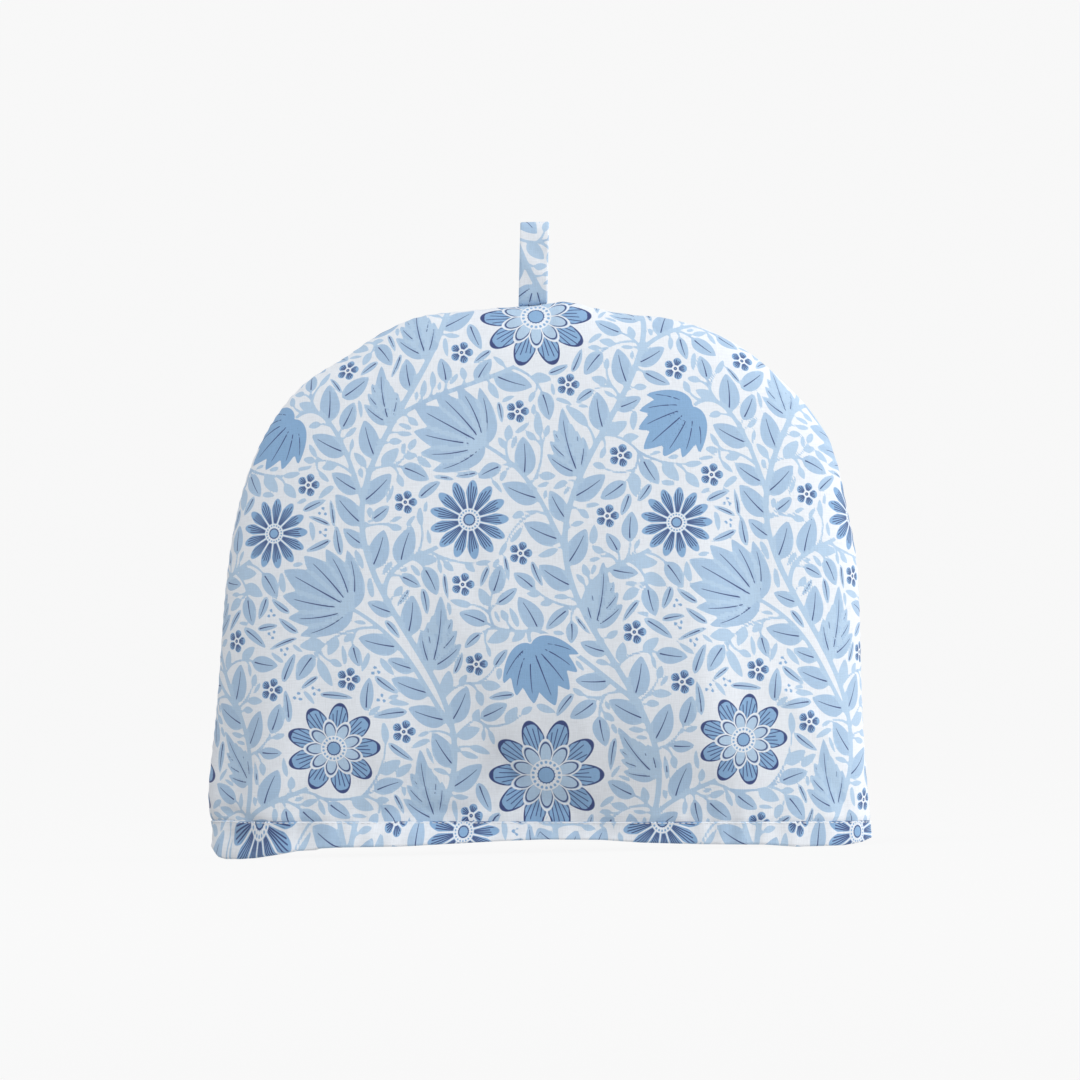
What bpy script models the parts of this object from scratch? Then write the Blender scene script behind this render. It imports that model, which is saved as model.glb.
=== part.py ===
"""Tea cosy: a padded cotton dome that drops over a teapot.

Two arched panels meet in one seam that runs up the sides and over the top. A narrow hem band
goes round the mouth, and a flat hanging loop stands on the top of the seam. Every piece is a wall
of padded cloth, open inside, in metres. The front looks along -Y, and the cosy stands on z = 0.
"""

import math

import bmesh
import bpy
import numpy as np

# ---- driving dimensions, in metres ----
HEIGHT = 0.2733               # floor to the top of the seam
HALF_WIDTH = 0.1604           # of the dome, above its foot
FOOT_FLARE = 0.0065           # the sides stand this much wider at the floor
FLARE_HEIGHT = 0.060
SIDE_ROUNDNESS = 2.3          # exponents of the arch: the sides curve early,
TOP_ROUNDNESS = 4.6           # the top stays broad,
DEPTH_ROUNDNESS = 2.3         # and the walls turn in close to the seam
HALF_DEPTH = 0.047
BELLY = 0.007                 # the padded walls swell this much between hem and middle
BELLY_CENTRE, BELLY_REACH = 0.085, 0.080
TOP_TAPER = 0.016             # half depth lost between the floor and the top seam

HEM_HEIGHT = 0.0156           # hem line at the middle
HEM_SLOPE = -0.0227           # the hem line falls to the right, as the whole cosy leans
LEAN = {"start": -0.0034, "linear": 0.0161, "cubic": -0.0076}

WALL = 0.0040                 # padded cloth
BAND_WALL = 0.0045            # the band is folded, so it is a little thicker
PIECE_GAP = 0.0003
SEAM_GROOVE, SEAM_REACH = 0.0012, 0.0035
RIM_FADE = 0.009              # folds die out this close to the seam

BAND_EDGE_RADIUS = 0.0012     # the lower edge of the band is rounded on both sides

LOOP_WIDTH, LOOP_HEIGHT = 0.0145, 0.0420
LOOP_WALL = 0.0018
LOOP_SPREAD = 0.0042          # half distance between the two layers, at their widest
LOOP_END = 0.0015             # radius of the folded top and of the sewn root
LOOP_X = 0.0022
LOOP_LEAN = math.radians(2.6)

PANEL_COLUMNS, PANEL_ROWS = 34, 28
BAND_STATIONS = 100
LOOP_STATIONS, LOOP_COLUMNS = 32, 5

# Dents and swells in the outline of the seam: where, how far they reach, and how far out.
OUTLINE_SWELLS = [
    # x       z      reach   out
    (-0.056, 0.270, 0.018, 0.0021),
    (-0.094, 0.249, 0.017, -0.0028),
    (0.018, 0.273, 0.011, 0.0023),
    (0.048, 0.266, 0.017, -0.0024),
    (0.128, 0.236, 0.020, -0.0014),
    (0.148, 0.204, 0.013, 0.0010),
    (0.157, 0.168, 0.016, -0.0012),
    (-0.168, 0.002, 0.021, -0.0068),
    (0.163, 0.005, 0.020, 0.0020),
]

# Soft troughs (out < 0) and swells (out > 0) of each panel. "long" and "wide" are the reach
# along and across the fold, and "turn" is its angle from the x axis in degrees.
FOLDS = {
    "front": [
        # x       z      long   wide   turn   out
        (-0.010, 0.122, 0.086, 0.054, 92, -0.0078),
        (0.000, 0.012, 0.078, 0.042, -2, -0.0118),
        (-0.054, 0.062, 0.046, 0.026, 100, -0.0066),
        (0.060, 0.078, 0.070, 0.050, 97, 0.0092),
        (-0.028, 0.128, 0.036, 0.010, 104, -0.0020),
        (-0.036, 0.084, 0.022, 0.009, 84, -0.0018),
        (0.084, 0.084, 0.070, 0.013, 92, 0.0020),
        (0.060, 0.100, 0.046, 0.012, 90, -0.0010),
        (0.022, 0.070, 0.022, 0.008, 96, 0.0014),
        (0.108, 0.132, 0.040, 0.012, 84, -0.0012),
        (-0.010, 0.034, 0.020, 0.0075, 112, -0.0024),
        (0.014, 0.022, 0.022, 0.009, 150, -0.0024),
        (-0.066, 0.030, 0.013, 0.012, 20, -0.0036),
        (-0.091, 0.036, 0.014, 0.010, 70, -0.0028),
        (0.082, 0.028, 0.016, 0.012, 60, -0.0034),
        (0.136, 0.060, 0.040, 0.012, -50, 0.0008),
        (-0.132, 0.046, 0.050, 0.016, 84, 0.0062),
        (-0.152, 0.040, 0.034, 0.009, 80, -0.0040),
        (-0.140, 0.024, 0.022, 0.007, 40, 0.0018),
        (-0.156, 0.012, 0.016, 0.006, -20, -0.0022),
        (-0.118, 0.008, 0.015, 0.005, 84, -0.0030),
        (-0.028, 0.222, 0.060, 0.020, 12, -0.0010),
    ],
    "back": [
        (0.048, 0.050, 0.060, 0.022, 82, -0.0054),
        (-0.018, 0.046, 0.050, 0.036, 90, 0.0040),
        (-0.072, 0.090, 0.052, 0.014, 98, -0.0034),
        (0.088, 0.070, 0.038, 0.012, 48, 0.0024),
        (-0.128, 0.050, 0.042, 0.012, 46, -0.0028),
        (-0.040, 0.160, 0.044, 0.013, 72, -0.0020),
        (0.132, 0.088, 0.040, 0.013, 112, 0.0024),
        (0.020, 0.210, 0.055, 0.018, -14, -0.0016),
    ],
}

# How high the lower edge hangs above the floor. It stands on a stretch at either end, and lifts
# a little again where the seam turns the corner.
HEM_LIFT = {
    "front": [
        # x       lift
        (-0.1700, 0.0060),
        (-0.1672, 0.0034),
        (-0.1638, 0.0011),
        (-0.1595, 0.0),
        (-0.1500, 0.0),
        (-0.1420, 0.0004),
        (-0.1350, 0.0013),
        (-0.1280, 0.0023),
        (-0.1215, 0.0036),
        (-0.1130, 0.0038),
        (-0.1105, 0.0046),
        (-0.1020, 0.0049),
        (-0.0700, 0.0047),
        (-0.0180, 0.0063),
        (0.0020, 0.0066),
        (0.0300, 0.0058),
        (0.0500, 0.0040),
        (0.0800, 0.0025),
        (0.1120, 0.0015),
        (0.1280, 0.0),
        (0.1520, 0.0),
        (0.1600, 0.0014),
        (0.1640, 0.0036),
    ],
    "back": [
        (-0.1700, 0.0060),
        (-0.1672, 0.0034),
        (-0.1638, 0.0011),
        (-0.1595, 0.0),
        (-0.1480, 0.0),
        (-0.1280, 0.0030),
        (-0.1130, 0.0050),
        (-0.0500, 0.0058),
        (0.0100, 0.0070),
        (0.0500, 0.0050),
        (0.0800, 0.0034),
        (0.1120, 0.0018),
        (0.1280, 0.0),
        (0.1520, 0.0),
        (0.1600, 0.0014),
        (0.1640, 0.0036),
    ],
}
HEM_FLARE = 0.3               # the lifted edge also stands outward, by this share of its lift

PRINT_COLOUR = (0.55, 0.68, 0.82)
BAND_COLOUR = (0.60, 0.71, 0.84)
LOOP_COLOUR = (0.50, 0.65, 0.81)
COTTON_ROUGHNESS = 0.85

SIDES = {"front": -1, "back": 1}
SHARP_EDGE = math.radians(50)
PROBE = 1e-6                  # step of the numerical slopes
SETTLE_ROUNDS = 6             # x and z depend on each other, so they are worked out in rounds


def clear_scene():
    for thing in list(bpy.data.objects):
        bpy.data.objects.remove(thing, do_unlink=True)


def cloth(name, colour):
    """A matt cotton material."""
    material = bpy.data.materials.new(name)
    material.use_nodes = True
    shader = material.node_tree.nodes["Principled BSDF"]
    shader.inputs["Base Color"].default_value = (*colour, 1.0)
    shader.inputs["Roughness"].default_value = COTTON_ROUGHNESS
    shader.inputs["Metallic"].default_value = 0.0
    return material


def hem_height(x):
    return HEM_HEIGHT + HEM_SLOPE * x


def half_width(z):
    return HALF_WIDTH + FOOT_FLARE * np.exp(-((z / FLARE_HEIGHT) ** 2))


def middle(z):
    """Where the middle of the cosy is at this height: it leans a little."""
    share = z / HEIGHT
    return LEAN["start"] + LEAN["linear"] * share + LEAN["cubic"] * share**3


def half_depth(z):
    belly = BELLY * np.exp(-(((z - BELLY_CENTRE) / BELLY_REACH) ** 2))
    return HALF_DEPTH + belly - TOP_TAPER * np.clip(z / HEIGHT, 0, None) ** 3


def fullness(x, y, z):
    """Less than 1 inside the plain dome, 1 on it and more outside it."""
    rise = np.clip((z - hem_height(x)) / (HEIGHT - hem_height(x)), 0, None)
    across = np.abs((x - middle(z)) / half_width(z))
    deep = np.abs(y / half_depth(z))
    return across**SIDE_ROUNDNESS + rise**TOP_ROUNDNESS + deep**DEPTH_ROUNDNESS


def outward(points):
    """Unit normals of the plain dome at points on it."""
    x, y, z = np.moveaxis(points, -1, 0)
    slope = np.stack(
        [
            fullness(x + PROBE, y, z) - fullness(x - PROBE, y, z),
            fullness(x, y + PROBE, z) - fullness(x, y - PROBE, z),
            fullness(x, y, z + PROBE) - fullness(x, y, z - PROBE),
        ],
        axis=-1,
    )
    return slope / np.linalg.norm(slope, axis=-1, keepdims=True)


def lift(points, side):
    """How far the cloth stands out of the plain dome, in metres, at points on it."""
    x, y, z = np.moveaxis(points, -1, 0)
    total = -SEAM_GROOVE * np.exp(-((y / SEAM_REACH) ** 2))
    for at_x, at_z, reach, out in OUTLINE_SWELLS:
        distance = (x - at_x) ** 2 + y**2 + (z - at_z) ** 2
        total = total + out * np.exp(-distance / reach**2)
    fade = 1 - np.exp(-((y / RIM_FADE) ** 2))
    for at_x, at_z, long, wide, turn, out in FOLDS[side]:
        cosine, sine = math.cos(math.radians(turn)), math.sin(math.radians(turn))
        along = (x - at_x) * cosine + (z - at_z) * sine
        across = (z - at_z) * cosine - (x - at_x) * sine
        total = total + out * fade * np.exp(-((along / long) ** 2) - (across / wide) ** 2)
    return total


def eased(count):
    """Steps from 0 to 1, even at first, that close up towards 1 where the cloth turns in."""
    step = np.linspace(0, 1, count + 1)
    return step + step**4 - step**5


def arch_grid():
    """The plain dome's front half as a grid of x, depth and z, its edge on the seam."""
    half = eased(PANEL_COLUMNS // 2)
    u = np.concatenate([-half[:0:-1], half])[:, None]
    v = eased(PANEL_ROWS)[None, :]
    side, top = np.abs(u) ** SIDE_ROUNDNESS, v**TOP_ROUNDNESS
    across = u * (1 - top / 2) ** (1 / SIDE_ROUNDNESS)
    rise = v * (1 - side / 2) ** (1 / TOP_ROUNDNESS)
    x = across * HALF_WIDTH
    for _ in range(SETTLE_ROUNDS):
        z = hem_height(x) + rise * (HEIGHT - hem_height(x))
        x = middle(z) + across * half_width(z)
    left = np.clip((1 - side) * (1 - top), 0, None)
    depth = half_depth(z) * left ** (1 / DEPTH_ROUNDNESS)
    return x, depth, z


def mesh_object(name, vertices, faces, material):
    """A closed body from its points and faces, shaded smooth but for its cut edges."""
    mesh = bpy.data.meshes.new(name)
    mesh.from_pydata([tuple(vertex) for vertex in vertices], [], faces)
    work = bmesh.new()
    work.from_mesh(mesh)
    bmesh.ops.recalc_face_normals(work, faces=work.faces)
    work.to_mesh(mesh)
    work.free()
    mesh.materials.append(material)
    mesh.shade_smooth()
    mesh.set_sharp_from_angle(angle=SHARP_EDGE)
    thing = bpy.data.objects.new(name, mesh)
    bpy.context.scene.collection.objects.link(thing)
    return thing


def wall_faces(columns, rows):
    """Faces of a wall between two grids of columns x rows points, the outer grid first."""
    def outer(i, j):
        return i * rows + j

    def inner(i, j):
        return columns * rows + outer(i, j)

    faces = []
    for i in range(columns - 1):
        for j in range(rows - 1):
            faces.append([outer(i, j), outer(i + 1, j), outer(i + 1, j + 1), outer(i, j + 1)])
            faces.append([inner(i, j), inner(i, j + 1), inner(i + 1, j + 1), inner(i + 1, j)])
    rim = [(i, 0) for i in range(columns)]
    rim += [(columns - 1, j) for j in range(1, rows)]
    rim += [(i, rows - 1) for i in range(columns - 2, -1, -1)]
    rim += [(0, j) for j in range(rows - 2, 0, -1)]
    for here, after in zip(rim, rim[1:] + rim[:1]):
        faces.append([outer(*here), inner(*here), inner(*after), outer(*after)])
    return faces


def ring_faces(stations, section):
    """Faces of a closed ring of sections, each a closed loop of points."""
    faces = []
    for i in range(stations):
        for j in range(section):
            ahead, beside = (i + 1) % stations, (j + 1) % section
            faces.append(
                [
                    i * section + j,
                    ahead * section + j,
                    ahead * section + beside,
                    i * section + beside,
                ]
            )
    return faces


def make_panel(side, material):
    """One arched wall of padded cloth, from the hem line to the seam."""
    x, depth, z = arch_grid()
    plain = np.stack([x, SIDES[side] * depth, z], axis=-1)
    normal = outward(plain)
    height = lift(plain, side)[..., None]
    outer = plain + normal * height
    inner = plain + normal * (height - WALL)
    for sheet in (outer, inner):
        for seam in (sheet[0], sheet[-1], sheet[:, -1]):
            seam[:, 1] = SIDES[side] * PIECE_GAP / 2
        sheet[:, 0, 2] = hem_height(sheet[:, 0, 0])
    columns, rows = x.shape
    vertices = np.concatenate([outer.reshape(-1, 3), inner.reshape(-1, 3)])
    return mesh_object(f"panel_{side}", vertices, wall_faces(columns, rows), material)


def signed_power(value, power):
    return math.copysign(abs(value) ** power, value)


def hem_lift(x, side):
    stations, lifts = zip(*HEM_LIFT[side])
    return np.interp(x, stations, lifts)


def band_section(lower, upper):
    """Depth into the wall and height of the band's section, from its outer top edge down."""
    radius, diagonal = BAND_EDGE_RADIUS, BAND_EDGE_RADIUS * (1 - math.sqrt(0.5))
    thick = BAND_WALL
    return [
        (0.0, upper),
        (0.0, (upper + lower + radius) / 2),
        (0.0, lower + radius),
        (diagonal, lower + diagonal),
        (radius, lower),
        (thick - radius, lower),
        (thick - diagonal, lower + diagonal),
        (thick, lower + radius),
        (thick, (upper + lower + radius) / 2),
        (thick, upper),
    ]


def make_band(material):
    """The hem band: one closed ring of cloth below the hem line, standing on the floor."""
    vertices = []
    for turn in np.linspace(0, 2 * math.pi, BAND_STATIONS, endpoint=False):
        side = "front" if math.sin(turn) < 0 else "back"
        across = signed_power(math.cos(turn), 2 / SIDE_ROUNDNESS)
        deep = signed_power(math.sin(turn), 2 / DEPTH_ROUNDNESS)
        foot_x = middle(0) + across * half_width(0)
        lower = float(hem_lift(foot_x, side))
        upper = hem_height(foot_x) - PIECE_GAP
        for depth, z in band_section(lower, upper):
            x = middle(z) + across * half_width(z)
            y = deep * half_depth(z)
            plain = np.array([x, y, z])
            level = outward(plain) * (1, 1, 0)
            level = level / np.linalg.norm(level)
            below = (upper - z) / (upper - lower)
            flare = HEM_FLARE * lower * below**2
            point = plain + level * (float(lift(plain, side)) + flare - depth)
            if z == upper:
                point[2] = hem_height(point[0]) - PIECE_GAP
            vertices.append(point)
    section = len(band_section(0, HEM_HEIGHT))
    return mesh_object("hem_band", vertices, ring_faces(BAND_STATIONS, section), material)


def seam_top(x):
    """Height of the top of the seam at this x."""
    z = HEIGHT
    for _ in range(SETTLE_ROUNDS):
        across = abs((x - middle(z)) / half_width(z))
        rise = (1 - across**SIDE_ROUNDNESS) ** (1 / TOP_ROUNDNESS)
        z = hem_height(x) + rise * (HEIGHT - hem_height(x))
    return z + float(lift(np.array([x, 0.0, z]), "front"))


def make_loop(material):
    """The hanging loop: a flat strip, folded over and sewn together at its root."""
    tall = (LOOP_HEIGHT - LOOP_WALL) / 2
    ends = math.sqrt(LOOP_END * tall)
    turns = np.linspace(0, 2 * math.pi, LOOP_STATIONS, endpoint=False)
    depth = np.sin(turns) * (ends - (ends - LOOP_SPREAD) * np.sin(turns) ** 2)
    height = LOOP_HEIGHT / 2 - tall * np.cos(turns)
    path = np.stack([depth, height], axis=-1)
    tangent = np.roll(path, -1, axis=0) - np.roll(path, 1, axis=0)
    tangent /= np.linalg.norm(tangent, axis=1, keepdims=True)
    normal = np.stack([tangent[:, 1], -tangent[:, 0]], axis=-1)
    across = np.linspace(-0.5, 0.5, LOOP_COLUMNS) * LOOP_WIDTH
    top = seam_top(LOOP_X) + PIECE_GAP       # the root follows the seam, the top is level
    vertices = []
    for centre, out in zip(path, normal):
        outer, inner = centre + out * LOOP_WALL / 2, centre - out * LOOP_WALL / 2
        ring = [(offset, outer) for offset in across] + [(offset, inner) for offset in across[::-1]]
        for offset, (y, z) in ring:
            root = seam_top(LOOP_X + offset) + PIECE_GAP
            level = root + (top - root) * z / LOOP_HEIGHT
            vertices.append((LOOP_X + offset + z * math.sin(LOOP_LEAN), y, level + z))
    return mesh_object("loop", vertices, ring_faces(LOOP_STATIONS, 2 * len(across)), material)


def main():
    clear_scene()
    make_panel("front", cloth("Printed cotton, front", PRINT_COLOUR))
    make_panel("back", cloth("Printed cotton, back", PRINT_COLOUR))
    make_band(cloth("Printed cotton, hem band", BAND_COLOUR))
    make_loop(cloth("Printed cotton, loop", LOOP_COLOUR))


main()
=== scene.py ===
# %% [markdown]
# # A padded tea cosy in blue and white cotton
# The cosy is an arched pocket of padded cotton that drops over a teapot. Two panels meet in one
# seam that runs up the sides and over the top, a narrow band finishes the mouth, and a flat loop
# stands on the seam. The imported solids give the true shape. This lesson dresses them: it builds
# finer cloth on the same arch, draws a print for it, sews the stitches and lights the whole.

# %% Load the frame
import math
import bpy
import numpy as np
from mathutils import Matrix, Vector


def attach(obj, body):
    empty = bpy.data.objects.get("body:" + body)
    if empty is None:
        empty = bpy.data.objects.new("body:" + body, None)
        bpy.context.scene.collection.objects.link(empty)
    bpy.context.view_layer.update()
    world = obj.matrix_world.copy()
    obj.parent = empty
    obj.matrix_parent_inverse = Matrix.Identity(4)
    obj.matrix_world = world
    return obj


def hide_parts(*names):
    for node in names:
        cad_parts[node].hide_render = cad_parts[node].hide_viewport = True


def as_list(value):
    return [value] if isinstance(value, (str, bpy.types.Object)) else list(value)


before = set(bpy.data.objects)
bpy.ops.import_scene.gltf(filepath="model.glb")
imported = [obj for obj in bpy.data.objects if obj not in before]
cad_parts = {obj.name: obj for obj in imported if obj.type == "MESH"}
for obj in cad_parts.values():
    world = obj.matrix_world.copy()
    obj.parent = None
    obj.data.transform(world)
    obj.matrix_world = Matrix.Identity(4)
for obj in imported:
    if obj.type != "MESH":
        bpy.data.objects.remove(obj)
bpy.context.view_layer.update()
print("solids:", sorted(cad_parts))

# %% [markdown]
# ## The camera
# A long lens far away draws the cosy almost without perspective, as a catalogue picture does. It
# looks level at the front, and it is rolled a little, because the cosy leans on its soft hem.

# %% Camera
CAMERA_DISTANCE = 8.0          # metres, for a flat picture
FRAME_WIDTH = 0.540            # what the picture spans at the seam
SENSOR_WIDTH = 36.0
AIM = (0.0031, 0.0, 0.1556)
ROLL = math.radians(1.3)

camera = bpy.data.objects.new("camera", bpy.data.cameras.new("camera"))
camera.data.sensor_width = SENSOR_WIDTH
camera.data.lens = SENSOR_WIDTH * CAMERA_DISTANCE / FRAME_WIDTH
camera.data.clip_end = 4 * CAMERA_DISTANCE
camera.location = (AIM[0], AIM[1] - CAMERA_DISTANCE, AIM[2])
camera.rotation_euler = (math.radians(90), ROLL, 0)
bpy.context.scene.collection.objects.link(camera)
bpy.context.scene.camera = camera
print(f"lens {camera.data.lens:.0f} mm at {CAMERA_DISTANCE} m")

# %% [markdown]
# ## The arch
# The outside of each wall is a superellipsoid: three shares, across, up and deep, each raised to
# a power, add up to 1 on it. Low powers round a side early and high ones keep it broad. The same
# formula as in the solids is used here, so the fine cloth lies where they are. Sculpting could
# give such a form too, but a formula can be sampled as finely as the print needs.

# %% Sizes of the arch
HEIGHT = 0.2733               # floor to the top of the seam
HALF_WIDTH = 0.1604
FOOT_FLARE, FLARE_HEIGHT = 0.0065, 0.060
SIDE_ROUNDNESS, TOP_ROUNDNESS, DEPTH_ROUNDNESS = 2.3, 4.6, 2.3
HALF_DEPTH, TOP_TAPER = 0.047, 0.016
BELLY, BELLY_CENTRE, BELLY_REACH = 0.007, 0.085, 0.080
HEM_HEIGHT, HEM_SLOPE = 0.0156, -0.0227
LEAN = {"start": -0.0034, "linear": 0.0161, "cubic": -0.0076}
WALL, BAND_WALL, PIECE_GAP = 0.0040, 0.0045, 0.0003
SEAM_GROOVE, SEAM_REACH = 0.0012, 0.0035
RIM_FADE = 0.009
SIDES = {"front": -1, "back": 1}
PROBE = 1e-6
SETTLE_ROUNDS = 6
print(f"{HEIGHT * 1000:.0f} mm to the top of the seam")


# %% Outside of the walls
def hem_height(x):
    return HEM_HEIGHT + HEM_SLOPE * x


def half_width(z):
    return HALF_WIDTH + FOOT_FLARE * np.exp(-((z / FLARE_HEIGHT) ** 2))


def middle(z):
    share = z / HEIGHT
    return LEAN["start"] + LEAN["linear"] * share + LEAN["cubic"] * share**3


def half_depth(z):
    belly = BELLY * np.exp(-(((z - BELLY_CENTRE) / BELLY_REACH) ** 2))
    return HALF_DEPTH + belly - TOP_TAPER * np.clip(z / HEIGHT, 0, None) ** 3


def outline_shares(x, z):
    """The shares across and up, which add up to 1 where the seam runs."""
    rise = np.clip((z - hem_height(x)) / (HEIGHT - hem_height(x)), 0, None)
    across = np.abs((x - middle(z)) / half_width(z))
    return across**SIDE_ROUNDNESS, rise**TOP_ROUNDNESS


def fullness(x, y, z):
    """Less than 1 inside the plain dome, 1 on it and more outside it."""
    across, rise = outline_shares(x, z)
    return across + rise + np.abs(y / half_depth(z)) ** DEPTH_ROUNDNESS


def wall_depth(x, z):
    """How far the plain dome stands from the seam's plane."""
    across, rise = outline_shares(x, z)
    return half_depth(z) * np.clip(1 - across - rise, 0, None) ** (1 / DEPTH_ROUNDNESS)


def outward(points):
    """Unit normals of the plain dome at points on it."""
    x, y, z = np.moveaxis(points, -1, 0)
    slope = np.stack(
        [
            fullness(x + PROBE, y, z) - fullness(x - PROBE, y, z),
            fullness(x, y + PROBE, z) - fullness(x, y - PROBE, z),
            fullness(x, y, z + PROBE) - fullness(x, y, z - PROBE),
        ],
        axis=-1,
    )
    return slope / np.linalg.norm(slope, axis=-1, keepdims=True)


print(f"half depth at the belly: {half_depth(BELLY_CENTRE) * 1000:.1f} mm")

# %% [markdown]
# ## Folds and creases
# Padded cotton never stands smooth. Each row below is one soft trough (out < 0) or ridge
# (out > 0), placed as a bell-shaped push along the wall's normal. The first table is the
# one that the solids have. The second adds what is too fine for them: tucks where the hem line
# pulls, crumples at the corner the cosy leans on, and soft dents that only the light shows. A
# cloth simulation would invent its own folds, while a table keeps them where they belong.

# %% Soft folds
OUTLINE_SWELLS = [
    # x       z      reach   out
    (-0.056, 0.270, 0.018, 0.0021),
    (-0.094, 0.249, 0.017, -0.0028),
    (0.018, 0.273, 0.011, 0.0023),
    (0.048, 0.266, 0.017, -0.0024),
    (0.128, 0.236, 0.020, -0.0014),
    (0.148, 0.204, 0.013, 0.0010),
    (0.157, 0.168, 0.016, -0.0012),
    (-0.168, 0.002, 0.021, -0.0068),
    (0.163, 0.005, 0.020, 0.0020),
]
FOLDS = {
    "front": [
        # x       z      long   wide   turn   out
        (-0.010, 0.122, 0.086, 0.054, 92, -0.0078),
        (0.000, 0.012, 0.078, 0.042, -2, -0.0118),
        (-0.054, 0.062, 0.046, 0.026, 100, -0.0066),
        (0.060, 0.078, 0.070, 0.050, 97, 0.0092),
        (-0.028, 0.128, 0.036, 0.010, 104, -0.0020),
        (-0.036, 0.084, 0.022, 0.009, 84, -0.0018),
        (0.084, 0.084, 0.070, 0.013, 92, 0.0020),
        (0.060, 0.100, 0.046, 0.012, 90, -0.0010),
        (0.022, 0.070, 0.022, 0.008, 96, 0.0014),
        (0.108, 0.132, 0.040, 0.012, 84, -0.0012),
        (-0.010, 0.034, 0.020, 0.0075, 112, -0.0024),
        (0.014, 0.022, 0.022, 0.009, 150, -0.0024),
        (-0.066, 0.030, 0.013, 0.012, 20, -0.0036),
        (-0.091, 0.036, 0.014, 0.010, 70, -0.0028),
        (0.082, 0.028, 0.016, 0.012, 60, -0.0034),
        (0.136, 0.060, 0.040, 0.012, -50, 0.0008),
        (-0.132, 0.046, 0.050, 0.016, 84, 0.0062),
        (-0.152, 0.040, 0.034, 0.009, 80, -0.0040),
        (-0.140, 0.024, 0.022, 0.007, 40, 0.0018),
        (-0.156, 0.012, 0.016, 0.006, -20, -0.0022),
        (-0.118, 0.008, 0.015, 0.005, 84, -0.0030),
        (-0.028, 0.222, 0.060, 0.020, 12, -0.0010),
    ],
    "back": [
        (0.048, 0.050, 0.060, 0.022, 82, -0.0054),
        (-0.018, 0.046, 0.050, 0.036, 90, 0.0040),
        (-0.072, 0.090, 0.052, 0.014, 98, -0.0034),
        (0.088, 0.070, 0.038, 0.012, 48, 0.0024),
        (-0.128, 0.050, 0.042, 0.012, 46, -0.0028),
        (-0.040, 0.160, 0.044, 0.013, 72, -0.0020),
        (0.132, 0.088, 0.040, 0.013, 112, 0.0024),
        (0.020, 0.210, 0.055, 0.018, -14, -0.0016),
    ],
}
print("soft folds:", {side: len(rows) for side, rows in FOLDS.items()})

# %% Creases
CREASES = {
    "front": [
        # x       z      long   wide   turn   out
        (-0.078, 0.0200, 0.022, 0.0068, -1, -0.0030),
        (0.082, 0.0160, 0.016, 0.0045, 0, -0.0010),
        (-0.160, 0.0205, 0.008, 0.0045, 0, -0.0016),
        (-0.050, 0.0190, 0.018, 0.0060, -1, -0.0028),
        (-0.004, 0.0210, 0.020, 0.0068, 4, -0.0022),
        (-0.126, 0.0180, 0.016, 0.0068, 0, 0.0014),
        (-0.134, 0.0030, 0.020, 0.0070, 0, 0.0024),
        (-0.020, 0.0300, 0.020, 0.0050, 28, -0.0016),
        (0.015, 0.036, 0.042, 0.017, 90, 0.0028),
        (-0.024, 0.036, 0.024, 0.009, 90, -0.0022),
        (-0.057, 0.094, 0.036, 0.018, 94, -0.0026),
        (-0.050, 0.114, 0.034, 0.015, 96, -0.0012),
        (-0.019, 0.114, 0.036, 0.014, 96, 0.0016),
        (0.030, 0.118, 0.030, 0.012, 92, -0.0014),
        (-0.024, 0.040, 0.018, 0.0050, 60, -0.0018),
        (-0.030, 0.066, 0.024, 0.0060, 96, -0.0010),
        (-0.150, 0.022, 0.012, 0.0030, -18, -0.0018),
        (-0.146, 0.030, 0.016, 0.0032, 62, 0.0013),
        (-0.158, 0.052, 0.018, 0.0034, 80, -0.0008),
        (-0.132, 0.014, 0.010, 0.0030, 30, 0.0007),
        (-0.120, 0.018, 0.010, 0.0028, 76, -0.0014),
        (-0.013, 0.036, 0.013, 0.0036, 118, -0.0020),
        (-0.004, 0.050, 0.016, 0.0040, 100, 0.0006),
        (0.058, 0.126, 0.030, 0.0045, 88, -0.0008),
        (0.104, 0.020, 0.012, 0.0034, 66, 0.0006),
        (0.147, 0.028, 0.014, 0.0034, -62, -0.0007),
        (0.128, 0.070, 0.022, 0.0040, -48, 0.0006),
        (-0.102, 0.058, 0.020, 0.0040, -54, 0.0005),
        (0.010, 0.264, 0.010, 0.0030, 70, -0.0007),
        (-0.010, 0.262, 0.010, 0.0030, 110, -0.0006),
    ],
    "back": [
        (0.140, 0.024, 0.014, 0.0034, 58, -0.0008),
        (0.046, 0.036, 0.020, 0.0040, 84, -0.0008),
        (-0.030, 0.030, 0.014, 0.0036, 104, 0.0006),
        (-0.118, 0.030, 0.018, 0.0038, 40, -0.0007),
        (-0.148, 0.040, 0.016, 0.0034, 100, 0.0006),
        (0.006, 0.262, 0.010, 0.0030, 84, -0.0006),
    ],
}
print("creases:", {side: len(rows) for side, rows in CREASES.items()})

# %% [markdown]
# ## Pushing the cloth out and in
# Each row adds its bell to the push at a point. Near the seam the folds fade, because both walls
# meet there, and a narrow groove takes their place. The seam and the hem line draw the cloth into
# small puckers, which are waves of uneven length that die away from the stitches.

# %% Push
HEM_PUCKER = {"pitch": 0.0125, "height": 0.00035, "reach": 0.008}
SEAM_PUCKER = {"pitch": 0.0105, "height": 0.0002, "reach": 0.007, "bare": 0.0015}


def bell(distance, reach):
    return np.exp(-((distance / reach) ** 2))


def puckers(place, pitch, unevenness, beat):
    """A wave whose length wanders."""
    return np.sin(2 * math.pi * place / pitch + unevenness * np.sin(place * beat))


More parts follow.
